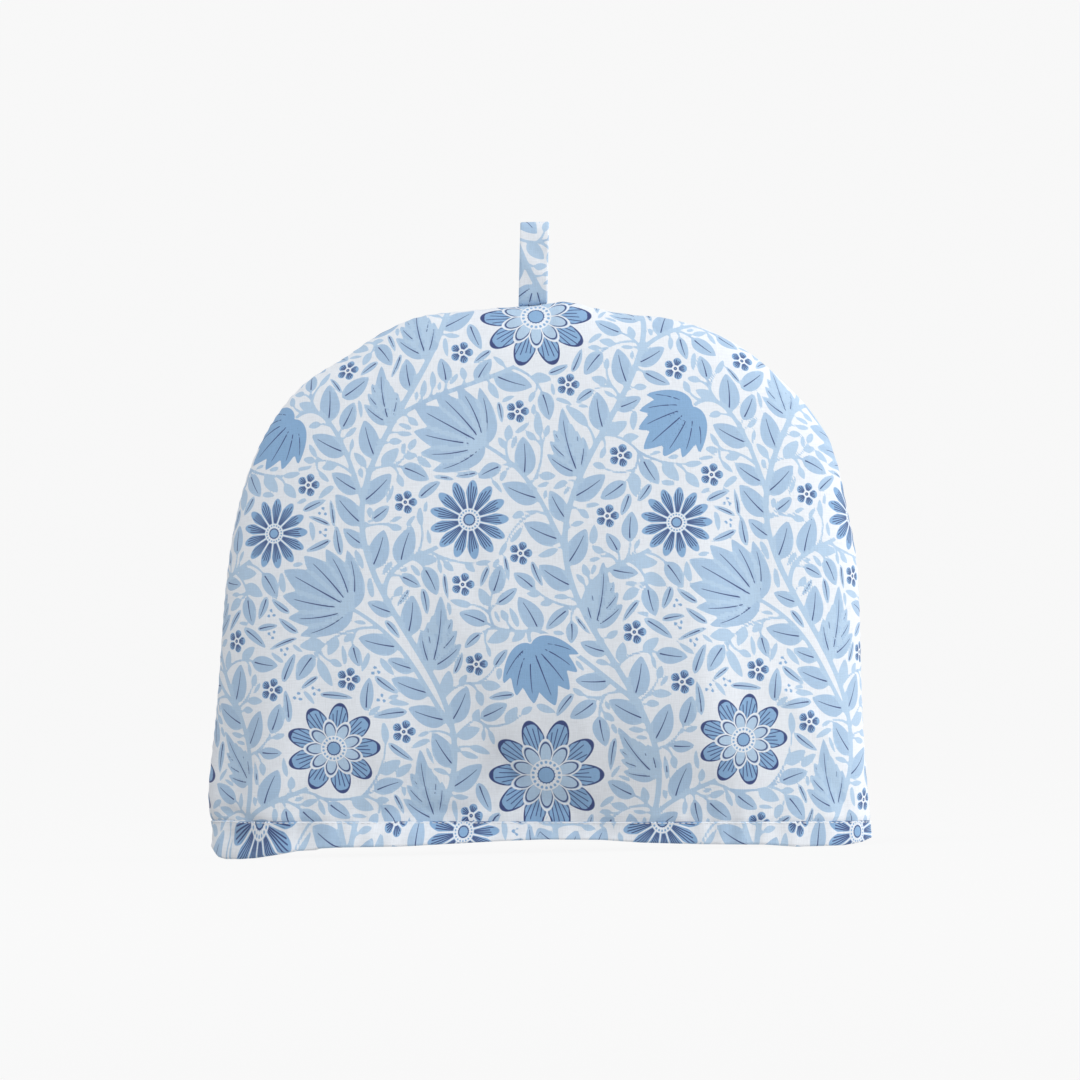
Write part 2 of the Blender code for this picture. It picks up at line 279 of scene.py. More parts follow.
def pushes(table, x, z):
    """Sum of the soft troughs and ridges of one table."""
    total = np.zeros_like(x)
    for at_x, at_z, long, wide, turn, out in table:
        cosine, sine = math.cos(math.radians(turn)), math.sin(math.radians(turn))
        along = (x - at_x) * cosine + (z - at_z) * sine
        across = (z - at_z) * cosine - (x - at_x) * sine
        total += out * bell(along, long) * bell(across, wide)
    return total


def lift(points, side):
    """How far the solids' cloth stands out of the plain dome."""
    x, y, z = np.moveaxis(points, -1, 0)
    total = -SEAM_GROOVE * bell(y, SEAM_REACH)
    for at_x, at_z, reach, out in OUTLINE_SWELLS:
        total = total + out * bell(x - at_x, reach) * bell(y, reach) * bell(z - at_z, reach)
    return total + (1 - bell(y, RIM_FADE)) * pushes(FOLDS[side], x, z)


def fine_lift(points, side):
    """The solids' folds with the finer creases and puckers of the cloth."""
    x, y, z = np.moveaxis(points, -1, 0)
    above = np.clip(z - hem_height(x), 0, None)
    hem = HEM_PUCKER["height"] * puckers(x, HEM_PUCKER["pitch"], 2.2, 71)
    total = pushes(CREASES[side], x, z) + hem * bell(above, HEM_PUCKER["reach"])
    seam = SEAM_PUCKER["height"] * puckers(x + 1.3 * z, SEAM_PUCKER["pitch"], 1.8, 83)
    near = bell(y, SEAM_PUCKER["reach"]) - bell(y, SEAM_PUCKER["bare"])
    return lift(points, side) + (1 - bell(y, RIM_FADE)) * total + seam * near


top = np.array([0.0, 0.0, HEIGHT])
print(f"push at the top of the seam: {float(lift(top, 'front')) * 1000:.1f} mm")

# %% [markdown]
# ## The print: a flat canvas
# The cloth carries a blue and white print of vines, leaves and round flowers that repeats every
# 20 cm or so. Drawing it with shader nodes alone would need thousands of them. Here every shape
# is drawn once, by formula, as a distance: negative inside the shape, positive outside, in
# millimetres. The canvas keeps the smallest distance per half millimetre. A distance changes
# evenly from point to point, so even a mesh with a point per millimetre can carry it, and the
# shader then cuts a crisp edge where it passes zero.

# %% Canvas
REPEAT = (204.0, 236.0)       # width and height of one repeat, in millimetres like all of the print
CELL = 0.5
FAR = 12.0                    # distances past this aren't kept
CELLS = [round(side / CELL) for side in REPEAT]

canvas = {name: np.full(CELLS, FAR) for name in ("pale", "mid", "leafy", "taken")}
owner = {name: np.zeros(CELLS, int) for name in ("pale", "mid")}
leaves = [(0.0, 0.0, 0.0, 1.0, 0.0, 0.0)]    # base x, base y, heading, length, bend, vein
rosettes = []                                # centre x, centre y, radius, petals


def window(x, y, reach):
    """Cells within reach of a point, wrapped round the repeat, and their offsets from it."""
    i = np.arange(math.floor((x - reach) / CELL), math.ceil((x + reach) / CELL) + 1)
    j = np.arange(math.floor((y - reach) / CELL), math.ceil((y + reach) / CELL) + 1)
    cells = np.ix_(i % CELLS[0], j % CELLS[1])
    return cells, (i * CELL - x)[:, None], (j * CELL - y)[None, :]


def nearest_cell(x, y):
    i = np.round(x / CELL).astype(int) % CELLS[0]
    j = np.round(y / CELL).astype(int) % CELLS[1]
    return i, j


def draw(layer, cells, distance, number=0):
    """Adds a shape to a layer. A numbered leaf also owns the cells that it is nearest to."""
    if number:
        held = owner[layer][cells]
        held[distance < canvas[layer][cells]] = number
        owner[layer][cells] = held
    for name in (layer, "taken", "leafy") if number else (layer, "taken"):
        canvas[name][cells] = np.minimum(canvas[name][cells], distance)


print("cells:", CELLS)

# %% [markdown]
# ## One leaf
# A leaf is a bent axis with a width on either side that swells fast and tapers to a point. All
# foliage, the lobes of the big leaves and the fans of petals are made of this one shape. Before
# a leaf is drawn, the canvas is asked whether it keeps clear of what is already there.

# %% Leaves
LEAF_RISE, LEAF_FALL = 0.62, 0.85
LEAF_PEAK = LEAF_RISE / (LEAF_RISE + LEAF_FALL)
LEAF_FULL = LEAF_PEAK**LEAF_RISE * (1 - LEAF_PEAK) ** LEAF_FALL
LEAF_STATIONS = np.linspace(0.08, 1, 12)
STATION_WIDTHS = LEAF_STATIONS**LEAF_RISE * (1 - LEAF_STATIONS) ** LEAF_FALL / LEAF_FULL


def leaf_frame(dx, dy, heading, length, bend):
    """Where points lie on a leaf: along it, as a share of its length, and off its bent axis."""
    along = dx * math.cos(heading) + dy * math.sin(heading)
    across = dy * math.cos(heading) - dx * math.sin(heading)
    share = np.clip(along / length, 0, 1)
    return along, share, across - bend * share**2


def leaf_distance(dx, dy, heading, length, width, bend):
    along, share, off = leaf_frame(dx, dy, heading, length, bend)
    half = width / 2 * share**LEAF_RISE * (1 - share) ** LEAF_FALL / LEAF_FULL
    beside = (np.abs(off) - half) / np.sqrt(1 + (2 * bend * share / length) ** 2)
    beyond = np.hypot(along - np.clip(along, 0, length), off)
    return np.where((along < 0) | (along > length), beyond, beside)


def leaf_window(x, y, heading, length, bend):
    half_x, half_y = math.cos(heading) * length / 2, math.sin(heading) * length / 2
    cells, dx, dy = window(x + half_x, y + half_y, length / 2 + abs(bend) + FAR)
    return cells, dx + half_x, dy + half_y


def has_room(x, y, heading, length, width, bend, gap, root=0.0):
    """True if a leaf keeps this gap to all that is drawn, but near its root only to leaves."""
    along, sway = LEAF_STATIONS * length, bend * LEAF_STATIONS**2
    px = x + along * math.cos(heading) - sway * math.sin(heading)
    py = y + along * math.sin(heading) + sway * math.cos(heading)
    cells, reach = nearest_cell(px, py), width / 2 * STATION_WIDTHS + gap
    bare = canvas["taken"][cells] > reach
    return ((canvas["leafy"][cells] > reach) & (bare | (along < root))).all()


def draw_leaf(x, y, heading, length, width, bend=0.0, layer="pale", vein=0.0):
    cells, dx, dy = leaf_window(x, y, heading, length, bend)
    leaves.append((x, y, heading, length, bend, vein))
    distance = leaf_distance(dx, dy, heading, length, width, bend)
    draw(layer, cells, distance, len(leaves) - 1)


print(f"a leaf is widest at {LEAF_PEAK:.0%} of its length")

# %% [markdown]
# ## Stems, fans, fronds and rosettes
# A stem is a row of overlapping discs along a smooth curve between two places, which leaves the
# one and reaches the other in given directions. A fan is a spray of leaves from one point, drawn
# outer ones first. A frond is a big lobed leaf, with pairs of lobes on a bent midrib. A rosette
# only reserves its room here: its petals are so regular that the shader draws them itself.

# %% Stems and berries
STEM_STEP = 0.8
BERRY, BERRIES_APART = 0.95, 1.75


def join(start, heading, end, end_heading, swing=1.25):
    """Points and headings of a smooth curve that leaves and arrives in given directions."""
    (x0, y0), (x1, y1) = start, end
    pull = swing * math.hypot(x1 - x0, y1 - y0)
    t = np.linspace(0, 1, max(4, round(1.2 * pull / STEM_STEP)))
    lean_0, lean_1 = t * (1 - t) ** 2 * pull, t**2 * (t - 1) * pull
    share = t**2 * (3 - 2 * t)
    x = x0 + (x1 - x0) * share + lean_0 * math.cos(heading) + lean_1 * math.cos(end_heading)
    y = y0 + (y1 - y0) * share + lean_0 * math.sin(heading) + lean_1 * math.sin(end_heading)
    return x, y, np.arctan2(np.gradient(y), np.gradient(x))


def draw_disc(x, y, radius, layer):
    cells, dx, dy = window(x, y, radius + FAR)
    draw(layer, cells, np.hypot(dx, dy) - radius)


def draw_stem(path, start_width, end_width):
    px, py, _ = path
    for x, y, width in zip(px, py, np.linspace(start_width, end_width, len(px))):
        draw_disc(x, y, width / 2, "pale")


def draw_berries(x, y, turn):
    for angle in (turn, turn + 2.1, turn + 4.2):    # a third of a turn apart
        at_x, at_y = x + BERRIES_APART * math.cos(angle), y + BERRIES_APART * math.sin(angle)
        draw_disc(at_x, at_y, BERRY, "mid")


print("a stem has a disc every", STEM_STEP, "mm")

# %% Fans, fronds and rosettes
FAN_SPREAD, FAN_VEIN = math.radians(80), 0.36
FROND_PAIRS, FROND_VEIN = 3, 0.32


def draw_fan(x, y, heading, size, layer, lobes):
    for side in sorted(np.linspace(-1, 1, lobes), key=lambda value: -abs(value)):
        length = size * (1 - 0.32 * abs(side))
        place = (x, y, heading + FAN_SPREAD * side, length)
        draw_leaf(*place, 0.40 * length, -0.42 * side * length, layer, FAN_VEIN)


def draw_frond(x, y, heading, size, bend):
    for pair in range(FROND_PAIRS):
        share = 0.06 + 0.52 * pair / FROND_PAIRS
        sway = bend * share**2
        at_x = x + math.cos(heading) * size * share - math.sin(heading) * sway
        at_y = y + math.sin(heading) * size * share + math.cos(heading) * sway
        ahead = heading + math.atan(2 * bend * share / size)
        length = size * (0.50 - 0.07 * pair)
        for side in (-1, 1):
            place = (at_x, at_y, ahead + side * math.radians(48 - 6 * pair), length)
            draw_leaf(*place, 0.42 * length, -0.26 * side * length, vein=FROND_VEIN)
    draw_leaf(x, y, heading, size, 0.26 * size, bend, vein=FROND_VEIN)


def reserve_rosette(x, y, radius, petals):
    cells, dx, dy = window(x, y, radius + FAR)
    for name in ("leafy", "taken"):
        canvas[name][cells] = np.minimum(canvas[name][cells], np.hypot(dx, dy) - radius)
    rosettes.append((x % REPEAT[0], y % REPEAT[1], radius, petals))


print("motifs: leaf, stem, berries, fan, frond, rosette")

# %% [markdown]
# ## The layout of the repeat
# Two vines wave up the cloth side by side and repeat without a break. Branches leave them and
# end in a flower that has a bay to itself. This part is given as a table, because a print is
# composed.

# %% Vines and branches
VINES = [
    # middle  swing  phase
    (30.0, 22.0, 0.0),
    (132.0, 22.0, 0.4),
]
VINE_WIDTH, BRANCH_WIDTHS = 2.8, (2.4, 1.8)
BRANCH_ANGLE, FROND_ANGLE = math.radians(24), math.radians(50)
BRANCHES = [
    # vine  height  side  end x  end y  arriving  end        size  parts
    (0, -8, 1, 98, 46, 120, "rosette", 29, 10),
    (1, 82, -1, 92, 112, -70, "mid fan", 33, 7),
    (0, 138, 1, 62, 176, 60, "rosette", 20, 13),
    (1, 160, -1, 70, 214, 150, "pale fan", 40, 7),
    (1, 24, 1, 196, 62, 90, "rosette", 23, 9),
    (0, 70, -1, 2, 132, 150, "pale fan", 40, 7),
    (1, 128, 1, 166, 171, 60, "rosette", 18, 13),
    (0, 186, -1, -28, 230, -140, "mid fan", 33, 7),
]
FRONDS = [
    # vine  height  side  size
    (0, 22, -1, 38),
    (0, 100, 1, 38),
    (0, 224, -1, 32),
    (1, 196, -1, 36),
    (1, 44, -1, 32),
    (1, 118, 1, 34),
]
print("branches in the table:", len(BRANCHES))


# %% Drawing the vines
def vine_path(centre, swing, phase):
    rate = 2 * math.pi / REPEAT[1]
    y = np.arange(0, REPEAT[1], STEM_STEP)
    x = centre + swing * np.sin(rate * y + phase)
    return x, y, np.arctan2(1, swing * rate * np.cos(rate * y + phase))


def on_vine(number, height):
    """The place and heading at which a vine, or its repeat, passes a height."""
    x, y, heading = [values[round(height / STEM_STEP)] for values in vines[number]]
    return x, y - REPEAT[1] * (height < 0), heading


vines = [vine_path(*row) for row in VINES]
for vine in vines:
    draw_stem(vine, VINE_WIDTH, VINE_WIDTH)

branches = []
for vine, height, side, end_x, end_y, arriving, end, size, parts in BRANCHES:
    x, y, heading = on_vine(vine, height)
    arriving = math.radians(arriving)
    branches.append(join((x, y), heading - side * BRANCH_ANGLE, (end_x, end_y), arriving))
    if end == "rosette":
        reserve_rosette(end_x, end_y, size, parts)
    else:
        draw_fan(end_x, end_y, arriving, size, end.split()[0], parts)
for branch in branches:
    draw_stem(branch, *BRANCH_WIDTHS)

for vine, height, side, size in FRONDS:
    x, y, heading = on_vine(vine, height)
    draw_frond(x, y, heading - side * FROND_ANGLE, size, side * size * 0.22)
print(f"{len(branches)} branches, {len(rosettes)} rosettes, {len(leaves) - 1} lobes")

# %% [markdown]
# ## Sprigs
# Leaves sit along the vines and branches. Then the print grows into what is still bare: the
# emptiest spot of the canvas gets a small flower if it is wide, or else a sprig that runs to it
# from the stem that reaches it most easily, and so on until nothing is wide enough.

# %% Leaves along a stem
LEAF_GAP, LEAF_VEIN = 1.05, 0.30
STEM_LEAF = {"angle": math.radians(48), "stout": 0.54, "bend": 0.16, "veined from": 12}


def leaves_along(path, sizes, every, first):
    """Pairs of leaves, each the largest size that has room."""
    px, py, angle = path
    for index in range(first, len(px) - 2, every):
        for side in (1, -1):
            for length in sizes:
                way, bend = angle[index] + side * STEM_LEAF["angle"], STEM_LEAF["bend"]
                form = (way, length, STEM_LEAF["stout"] * length, -side * length * bend)
                place = (px[index], py[index], *form)
                if has_room(*place, LEAF_GAP, 0.6 * length):
                    draw_leaf(*place, vein=LEAF_VEIN if length > STEM_LEAF["veined from"] else 0)
                    break


stems = vines + branches
for stem in stems:
    leaves_along(stem, (20, 17, 14), 14, 8)
print(f"{len(leaves) - 1} leaves and lobes")

# %% Ways to a bare spot
SPRIG_WIDTHS = (1.5, 1.1)
SPRIG_LEAST, SPRIG_MOST, SPRIG_TRIES = 4.0, 45.0, 18
SPRIG_TURN, SPRIG_TURN_COST, SPRIG_TURN_MOST = 0.75, 9.0, 2.1
SPRIG_LEAVES, SPRIG_ARRIVES, SPRIG_SWING = 0.55, 1.45, 1.1
ROOT_CLEAR, LEAF_CLEAR = 5.0, 1.5       # how far along a sprig its own stem and leaves are near


def wrapped(difference, side):
    return (difference + side / 2) % side - side / 2


def reachable(path):
    """True if a thin stem along this path keeps clear of all but the stem that it leaves."""
    px, py, _ = path
    travelled = STEM_STEP * np.arange(len(px))
    cells = nearest_cell(px, py)
    reach = 0.85 * LEAF_GAP + SPRIG_WIDTHS[1] / 2
    leafy = canvas["leafy"][cells] < reach
    taken = canvas["taken"][cells] < reach
    return not (leafy & (travelled > LEAF_CLEAR) | taken & (travelled > ROOT_CLEAR)).any()


def ways_to(x, y):
    """Paths to a point from the stem points that it is easiest to reach from."""
    at_x, at_y, heading = np.concatenate([np.stack(stem) for stem in stems], axis=1)
    dx, dy = wrapped(x - at_x, REPEAT[0]), wrapped(y - at_y, REPEAT[1])
    distance = np.hypot(dx, dy)
    turn = wrapped(np.arctan2(dy, dx) - heading, 2 * math.pi)
    cost = distance + SPRIG_TURN_COST * np.abs(np.abs(turn) - SPRIG_TURN)
    off_limits = (distance < SPRIG_LEAST) | (distance > SPRIG_MOST)
    cost[off_limits | (np.abs(turn) > SPRIG_TURN_MOST)] = np.inf
    for index in np.argsort(cost)[: 3 * SPRIG_TRIES : 3]:
        if np.isfinite(cost[index]):
            leave = heading[index] + SPRIG_LEAVES * turn[index]
            arrive = heading[index] + SPRIG_ARRIVES * turn[index]
            start = x - dx[index], y - dy[index]
            yield join(start, leave, (x, y), arrive, SPRIG_SWING)


print(f"a sprig runs {SPRIG_LEAST:.0f} to {SPRIG_MOST:.0f} mm")

# %% Growing the sprigs
PRINT_SEED = 4
FLOWER_RADIUS, FLOWER_PETALS, FLOWER_APART, FLOWERS = 6.0, 5, 27.0, 16
WIDE_GAP, LEAST_GAP = 7.2, 2.2
GIVE_UP_REACH = 1.5
LAST_POINTS = 8               # points at a sprig's end that its own leaf covers
SPRIG_LEAF = {"lengths": (15, 13, 11, 9.5, 8, 6.5), "stout": (0.56, 0.44, 0.34), "bend": 0.13}


def far_from_flowers(x, y):
    small = [row for row in rosettes if row[2] == FLOWER_RADIUS]
    return all(
        math.hypot(wrapped(x - at_x, REPEAT[0]), wrapped(y - at_y, REPEAT[1])) > FLOWER_APART
        for at_x, at_y, _, _ in small
    ) and len(small) < FLOWERS


def grow(x, y, chance):
    """Grows a sprig from a stem to a bare spot. False if there is no way or no room."""
    for path in ways_to(x, y):
        if not reachable([values[:-LAST_POINTS] for values in path]):
            continue
        for length in SPRIG_LEAF["lengths"]:
            end = max(1, len(path[0]) - 1 - round(0.45 * length / STEM_STEP))
            stem = [values[: end + 1] for values in path]
            bend = chance.choice([-1, 1]) * SPRIG_LEAF["bend"] * length
            for stout in SPRIG_LEAF["stout"]:
                place = (stem[0][-1], stem[1][-1], stem[2][-1], length, stout * length, bend)
                if has_room(*place, LEAF_GAP):
                    draw_leaf(*place, vein=LEAF_VEIN if length > 10.5 and stout > 0.4 else 0)
                    draw_stem(stem, *SPRIG_WIDTHS)
                    stems.append(stem)
                    leaves_along(stem, (12, 10, 8, 6.5), 6, 5)
                    return True
    return False


def emptiest(given_up):
    open_ground = np.where(given_up, -1, canvas["taken"])
    i, j = np.unravel_index(open_ground.argmax(), open_ground.shape)
    return i * CELL, j * CELL, open_ground[i, j]


def give_up_spot(x, y, given_up):
    cells, dx, dy = window(x, y, GIVE_UP_REACH)
    given_up[cells] |= np.hypot(dx, dy) < GIVE_UP_REACH


chance = np.random.default_rng(PRINT_SEED)
given_up = np.zeros(CELLS, bool)
x, y, gap = emptiest(given_up)
while gap > LEAST_GAP:
    if gap > WIDE_GAP and far_from_flowers(x, y):
        reserve_rosette(x, y, FLOWER_RADIUS, FLOWER_PETALS)
    elif not grow(x, y, chance):
        give_up_spot(x, y, given_up)
    x, y, gap = emptiest(given_up)
print(f"{len(stems) - len(vines) - len(branches)} sprigs, {len(leaves) - 1} leaves and lobes")

# %% [markdown]
# ## Loose leaves and berries
# A few pockets are shut in by leaves, and no stem gets in. The widest get three berries, and the
# others a leaf that lies along the pocket.

# %% Filling the pockets
BERRY_GROUPS, BERRY_GAP = 9, 4.6
LOOSE_GAP, LOOSE_LEAST = 0.95, 4.5


def free_length(x, y, way, longest):
    s = np.arange(0, longest, CELL)
    field = canvas["taken"][nearest_cell(x + np.cos(way) * s, y + np.sin(way) * s)]
    near = field < LOOSE_GAP + 0.45
    return s[np.argmax(near)] if near.any() else longest


def lay_loose(x, y, gap, chance):
    """Draws a leaf along the pocket round this point. False if none fits."""
    best = (-1.0, 0.0, 0.0, 0.0)
    for way in np.radians(np.arange(0, 360, 15)):
        ahead, behind = free_length(x, y, way, 9), free_length(x, y, way + math.pi, 8)
        best = max(best, (ahead + behind + chance.uniform(0, 1), way, ahead, behind))
    _, way, ahead, behind = best
    length = ahead + behind
    root = x - math.cos(way) * behind, y - math.sin(way) * behind
    bend = chance.choice([-1, 1]) * length * 0.12
    for scale in (1, 0.85, 0.7, 0.55):
        width = scale * min(2 * (gap - LOOSE_GAP) + 0.6, 0.56 * length)
        place = (*root, way, length, width, bend)
        if length > LOOSE_LEAST and width > 1.8 and has_room(*place, 0.8 * LOOSE_GAP):
            draw_leaf(*place, vein=LEAF_VEIN if length > 11 else 0)
            return True
    return False


berries = 0
given_up[:] = False
x, y, gap = emptiest(given_up)
while gap > LEAST_GAP:
    if gap > BERRY_GAP and berries < BERRY_GROUPS:
        draw_berries(x, y, chance.uniform(0, 2 * math.pi))
        berries += 1
    elif not lay_loose(x, y, gap, chance):
        give_up_spot(x, y, given_up)
    x, y, gap = emptiest(given_up)
print(f"{(canvas['pale'] < 0).mean():.0%} of the ground is leaf, {berries} groups of berries")

# %% [markdown]
# ## Reading the print on the cloth
# For any place on the flat cloth, the canvas gives the distances to the nearest pale and mid
# blue shapes. It also gives the place within the nearest leaf and the nearest rosette, which the
# shader needs for the fine navy lines. These go onto the mesh as attributes.

# %% Sampling
HALO = 0.9                    # bare ground round a mid blue shape
INSIDE_OUT = 50.0             # a distance that keeps the reverse of the cloth bare
SETTLED = 3                   # cells from a leaf's border at which its vein may start


def smooth_read(layer, x, y):
    """Distance between the four nearest cells, weighed evenly."""
    grid_x, grid_y = x / CELL, y / CELL
    i, j = np.floor(grid_x).astype(int), np.floor(grid_y).astype(int)
    share_x, share_y = grid_x - i, grid_y - j
    field = canvas[layer]
    total = 0
    for step_x, weight_x in ((0, 1 - share_x), (1, share_x)):
        for step_y, weight_y in ((0, 1 - share_y), (1, share_y)):
            cell = (i + step_x) % CELLS[0], (j + step_y) % CELLS[1]
            total = total + weight_x * weight_y * field[cell]
    return total


def settled(layer):
    """Cells with the same owner as the cells round them. Elsewhere one leaf passes to another."""
    held = owner[layer]
    moved = [np.roll(held, step, axis) for axis in (0, 1) for step in (-SETTLED, SETTLED)]
    return np.all([held == other for other in moved], axis=0)


def read_print(x, y):
    """The three vectors that the shader draws the print from, at places on the flat cloth."""
    pale, mid = smooth_read("pale", x, y), smooth_read("mid", x, y)
    cell = nearest_cell(x, y)
    on_mid = mid < HALO
    number = np.where(on_mid, owner["mid"][cell], owner["pale"][cell])
    whole = np.where(on_mid, settled("mid")[cell], settled("pale")[cell])
    base_x, base_y, heading, length, bend, vein = np.array(leaves).T[:, number]
    dx, dy = wrapped(x - base_x, REPEAT[0]), wrapped(y - base_y, REPEAT[1])
    share = (dx * np.cos(heading) + dy * np.sin(heading)) / length
    off = dy * np.cos(heading) - dx * np.sin(heading) - bend * share**2
    nearest = np.full(x.shape, np.inf)
    centre = np.zeros((*x.shape, 3))
    form = np.ones((*x.shape, 3))
    for at_x, at_y, radius, petals in rosettes:
        dx, dy = wrapped(x - at_x, REPEAT[0]), wrapped(y - at_y, REPEAT[1])
        edge = np.hypot(dx, dy) - radius
        here = edge < nearest
        nearest = np.where(here, edge, nearest)
        centre[here] = np.stack([dx, dy, edge], axis=-1)[here]
        form[here] = (2 * math.pi / petals, 0.62 * radius * math.sin(math.pi / petals), radius)
    return {
        "print_edges": np.stack([pale, mid, np.zeros_like(pale)], axis=-1),
        "leaf_place": np.stack([share, off, vein * whole], axis=-1),
        "rosette_place": centre,
        "rosette_form": form,
    }


print("vectors:", list(read_print(np.zeros(1), np.zeros(1))))

# %% [markdown]
# ## The two panels
# A panel is a fine grid on the outside, about one point per millimetre, because the points carry
# the print. The inside needs no print, so its grid is four times coarser, and the two are joined
# round the rim. A Solidify modifier would double the fine grid instead.

# %% Panel grid
PANEL_COLUMNS, PANEL_ROWS = 344, 252


def eased(count):
    """Steps from 0 to 1, even at first, that close up towards 1 where the cloth turns in."""
    step = np.linspace(0, 1, count + 1)
    return step + step**4 - step**5


def arch_grid(columns, rows):
    """The plain dome's half as a grid of x, depth and z, its edge on the seam."""
    half = eased(columns // 2)
    u = np.concatenate([-half[:0:-1], half])[:, None]
    v = eased(rows)[None, :]
    side, top = np.abs(u) ** SIDE_ROUNDNESS, v**TOP_ROUNDNESS
    across = u * (1 - top / 2) ** (1 / SIDE_ROUNDNESS)
    rise = v * (1 - side / 2) ** (1 / TOP_ROUNDNESS)
    x = across * HALF_WIDTH
    for _ in range(SETTLE_ROUNDS):
        z = hem_height(x) + rise * (HEIGHT - hem_height(x))
        x = middle(z) + across * half_width(z)
    left = np.clip((1 - side) * (1 - top), 0, None)
    depth = half_depth(z) * left ** (1 / DEPTH_ROUNDNESS)
    return x, depth, z


print("cells of a panel:", PANEL_COLUMNS, "x", PANEL_ROWS)

# %% Panel faces
COARSENESS = 4                # one inner face for so many outer ones, each way


def panel_faces(columns, rows):
    """Faces of a wall between a fine outer grid of columns x rows cells and a coarse inner one."""
    step, inner_rows = COARSENESS, rows // COARSENESS
    first_inner = (columns + 1) * (rows + 1)

    def outer(i, j):
        return i * (rows + 1) + j

    def inner(i, j):
        return first_inner + i // step * (inner_rows + 1) + j // step

    faces = []
    for i in range(columns):
        for j in range(rows):
            faces.append((outer(i, j), outer(i + 1, j), outer(i + 1, j + 1), outer(i, j + 1)))
    for i in range(0, columns, step):
        for j in range(0, rows, step):
            far_i, far_j = i + step, j + step
            faces.append((inner(i, j), inner(i, far_j), inner(far_i, far_j), inner(far_i, j)))
    rim = [(i, 0) for i in range(columns)] + [(columns, j) for j in range(rows)]
    rim += [(i, rows) for i in range(columns, 0, -1)] + [(0, j) for j in range(rows, 0, -1)]
    rim.append(rim[0])
    for start in range(0, len(rim) - 1, step):
        stretch = rim[start : start + step + 1]
        back = [outer(*place) for place in stretch[:0:-1]]
        faces.append((outer(*stretch[0]), inner(*stretch[0]), inner(*stretch[-1]), *back))
    return faces


def cloth_object(name, vertices, faces):
    mesh = bpy.data.meshes.new(name)
    mesh.from_pydata(vertices.tolist(), [], faces)
    mesh.shade_smooth()
    mesh.set_sharp_from_angle(angle=math.radians(50))
    thing = bpy.data.objects.new(name, mesh)
    bpy.context.scene.collection.objects.link(thing)
    mesh.calc_loop_triangles()
    print(f"{name}: {len(mesh.loop_triangles)} triangles")
    return thing


print("faces of a panel:", len(panel_faces(PANEL_COLUMNS, PANEL_ROWS)))

# %% [markdown]
# ## Laying the cloth out flat
# The print must not stretch where the wall turns in towards the seam, so every point needs its
# place on the flat cloth. The walls curve gently both ways, and it is enough to measure, on the
# surface, how far a point is from the middle of the panel, and to lay it down that far away in
# the same direction.

# %% Flat places
FLAT_CENTRE_HEIGHT = 0.110
FLAT_STEPS = 48


def flat_place(x, z):
    """Place on the flat cloth in metres, from the middle of the panel."""
    centre = np.array([middle(FLAT_CENTRE_HEIGHT), FLAT_CENTRE_HEIGHT])
    reach_x, reach_z = x - centre[0], z - centre[1]
    radius = np.hypot(reach_x, reach_z)
    length = np.zeros_like(x)
    before, depth_before = 0.0, wall_depth(np.full_like(x, centre[0]), np.full_like(z, centre[1]))
    for step in range(1, FLAT_STEPS + 1):
        share = 1 - (1 - step / FLAT_STEPS) ** 2
        depth = wall_depth(centre[0] + reach_x * share, centre[1] + reach_z * share)
        length += np.hypot(radius * (share - before), depth - depth_before)
        before, depth_before = share, depth
    stretch = length / np.maximum(radius, PROBE)
    return reach_x * stretch, reach_z * stretch


def outline_area(grid):
    """Area inside the outline of a grid of flat places."""
    rim = np.concatenate([grid[:, 0], grid[-1, 1:], grid[-2::-1, -1], grid[0, -2:0:-1]])
    x, y = rim.T
    return float(abs(np.dot(x, np.roll(y, -1)) - np.dot(y, np.roll(x, -1)))) / 2


def carry(mesh, domain, vectors, flat_x, flat_y):
    """Stores the print's vectors and a UV map in metres on a mesh."""
    for name, values in vectors.items():
        attribute = mesh.attributes.new(name, "FLOAT_VECTOR", domain)
        attribute.data.foreach_set("vector", values.astype(np.float32).ravel())
    corner = np.empty(len(mesh.loops), int)
    mesh.loops.foreach_get("vertex_index", corner)
    if domain == "CORNER":
        corner = np.arange(len(mesh.loops))
    places = np.stack([flat_x.ravel()[corner], flat_y.ravel()[corner]], axis=-1)
    mesh.uv_layers.new(name="flat").uv.foreach_set("vector", places.astype(np.float32).ravel())


print("rays to a flat place:", FLAT_STEPS, "steps each")

# %% [markdown]
# ## Making a panel
# Each point of the grid starts on the plain dome and is pushed out along its normal by the folds.
# The rim is then set on the seam and on the hem line, where the other pieces meet it. The back
# panel takes another part of the print, as it would when both are cut from one length of cloth.

# %% Panels
PRINT_START = {"front": (97.0, 118.0), "back": (31.0, 60.0)}    # at the middle of the panel, mm
HEM_TUCK = {"depth": 0.0007, "reach": 0.0011}


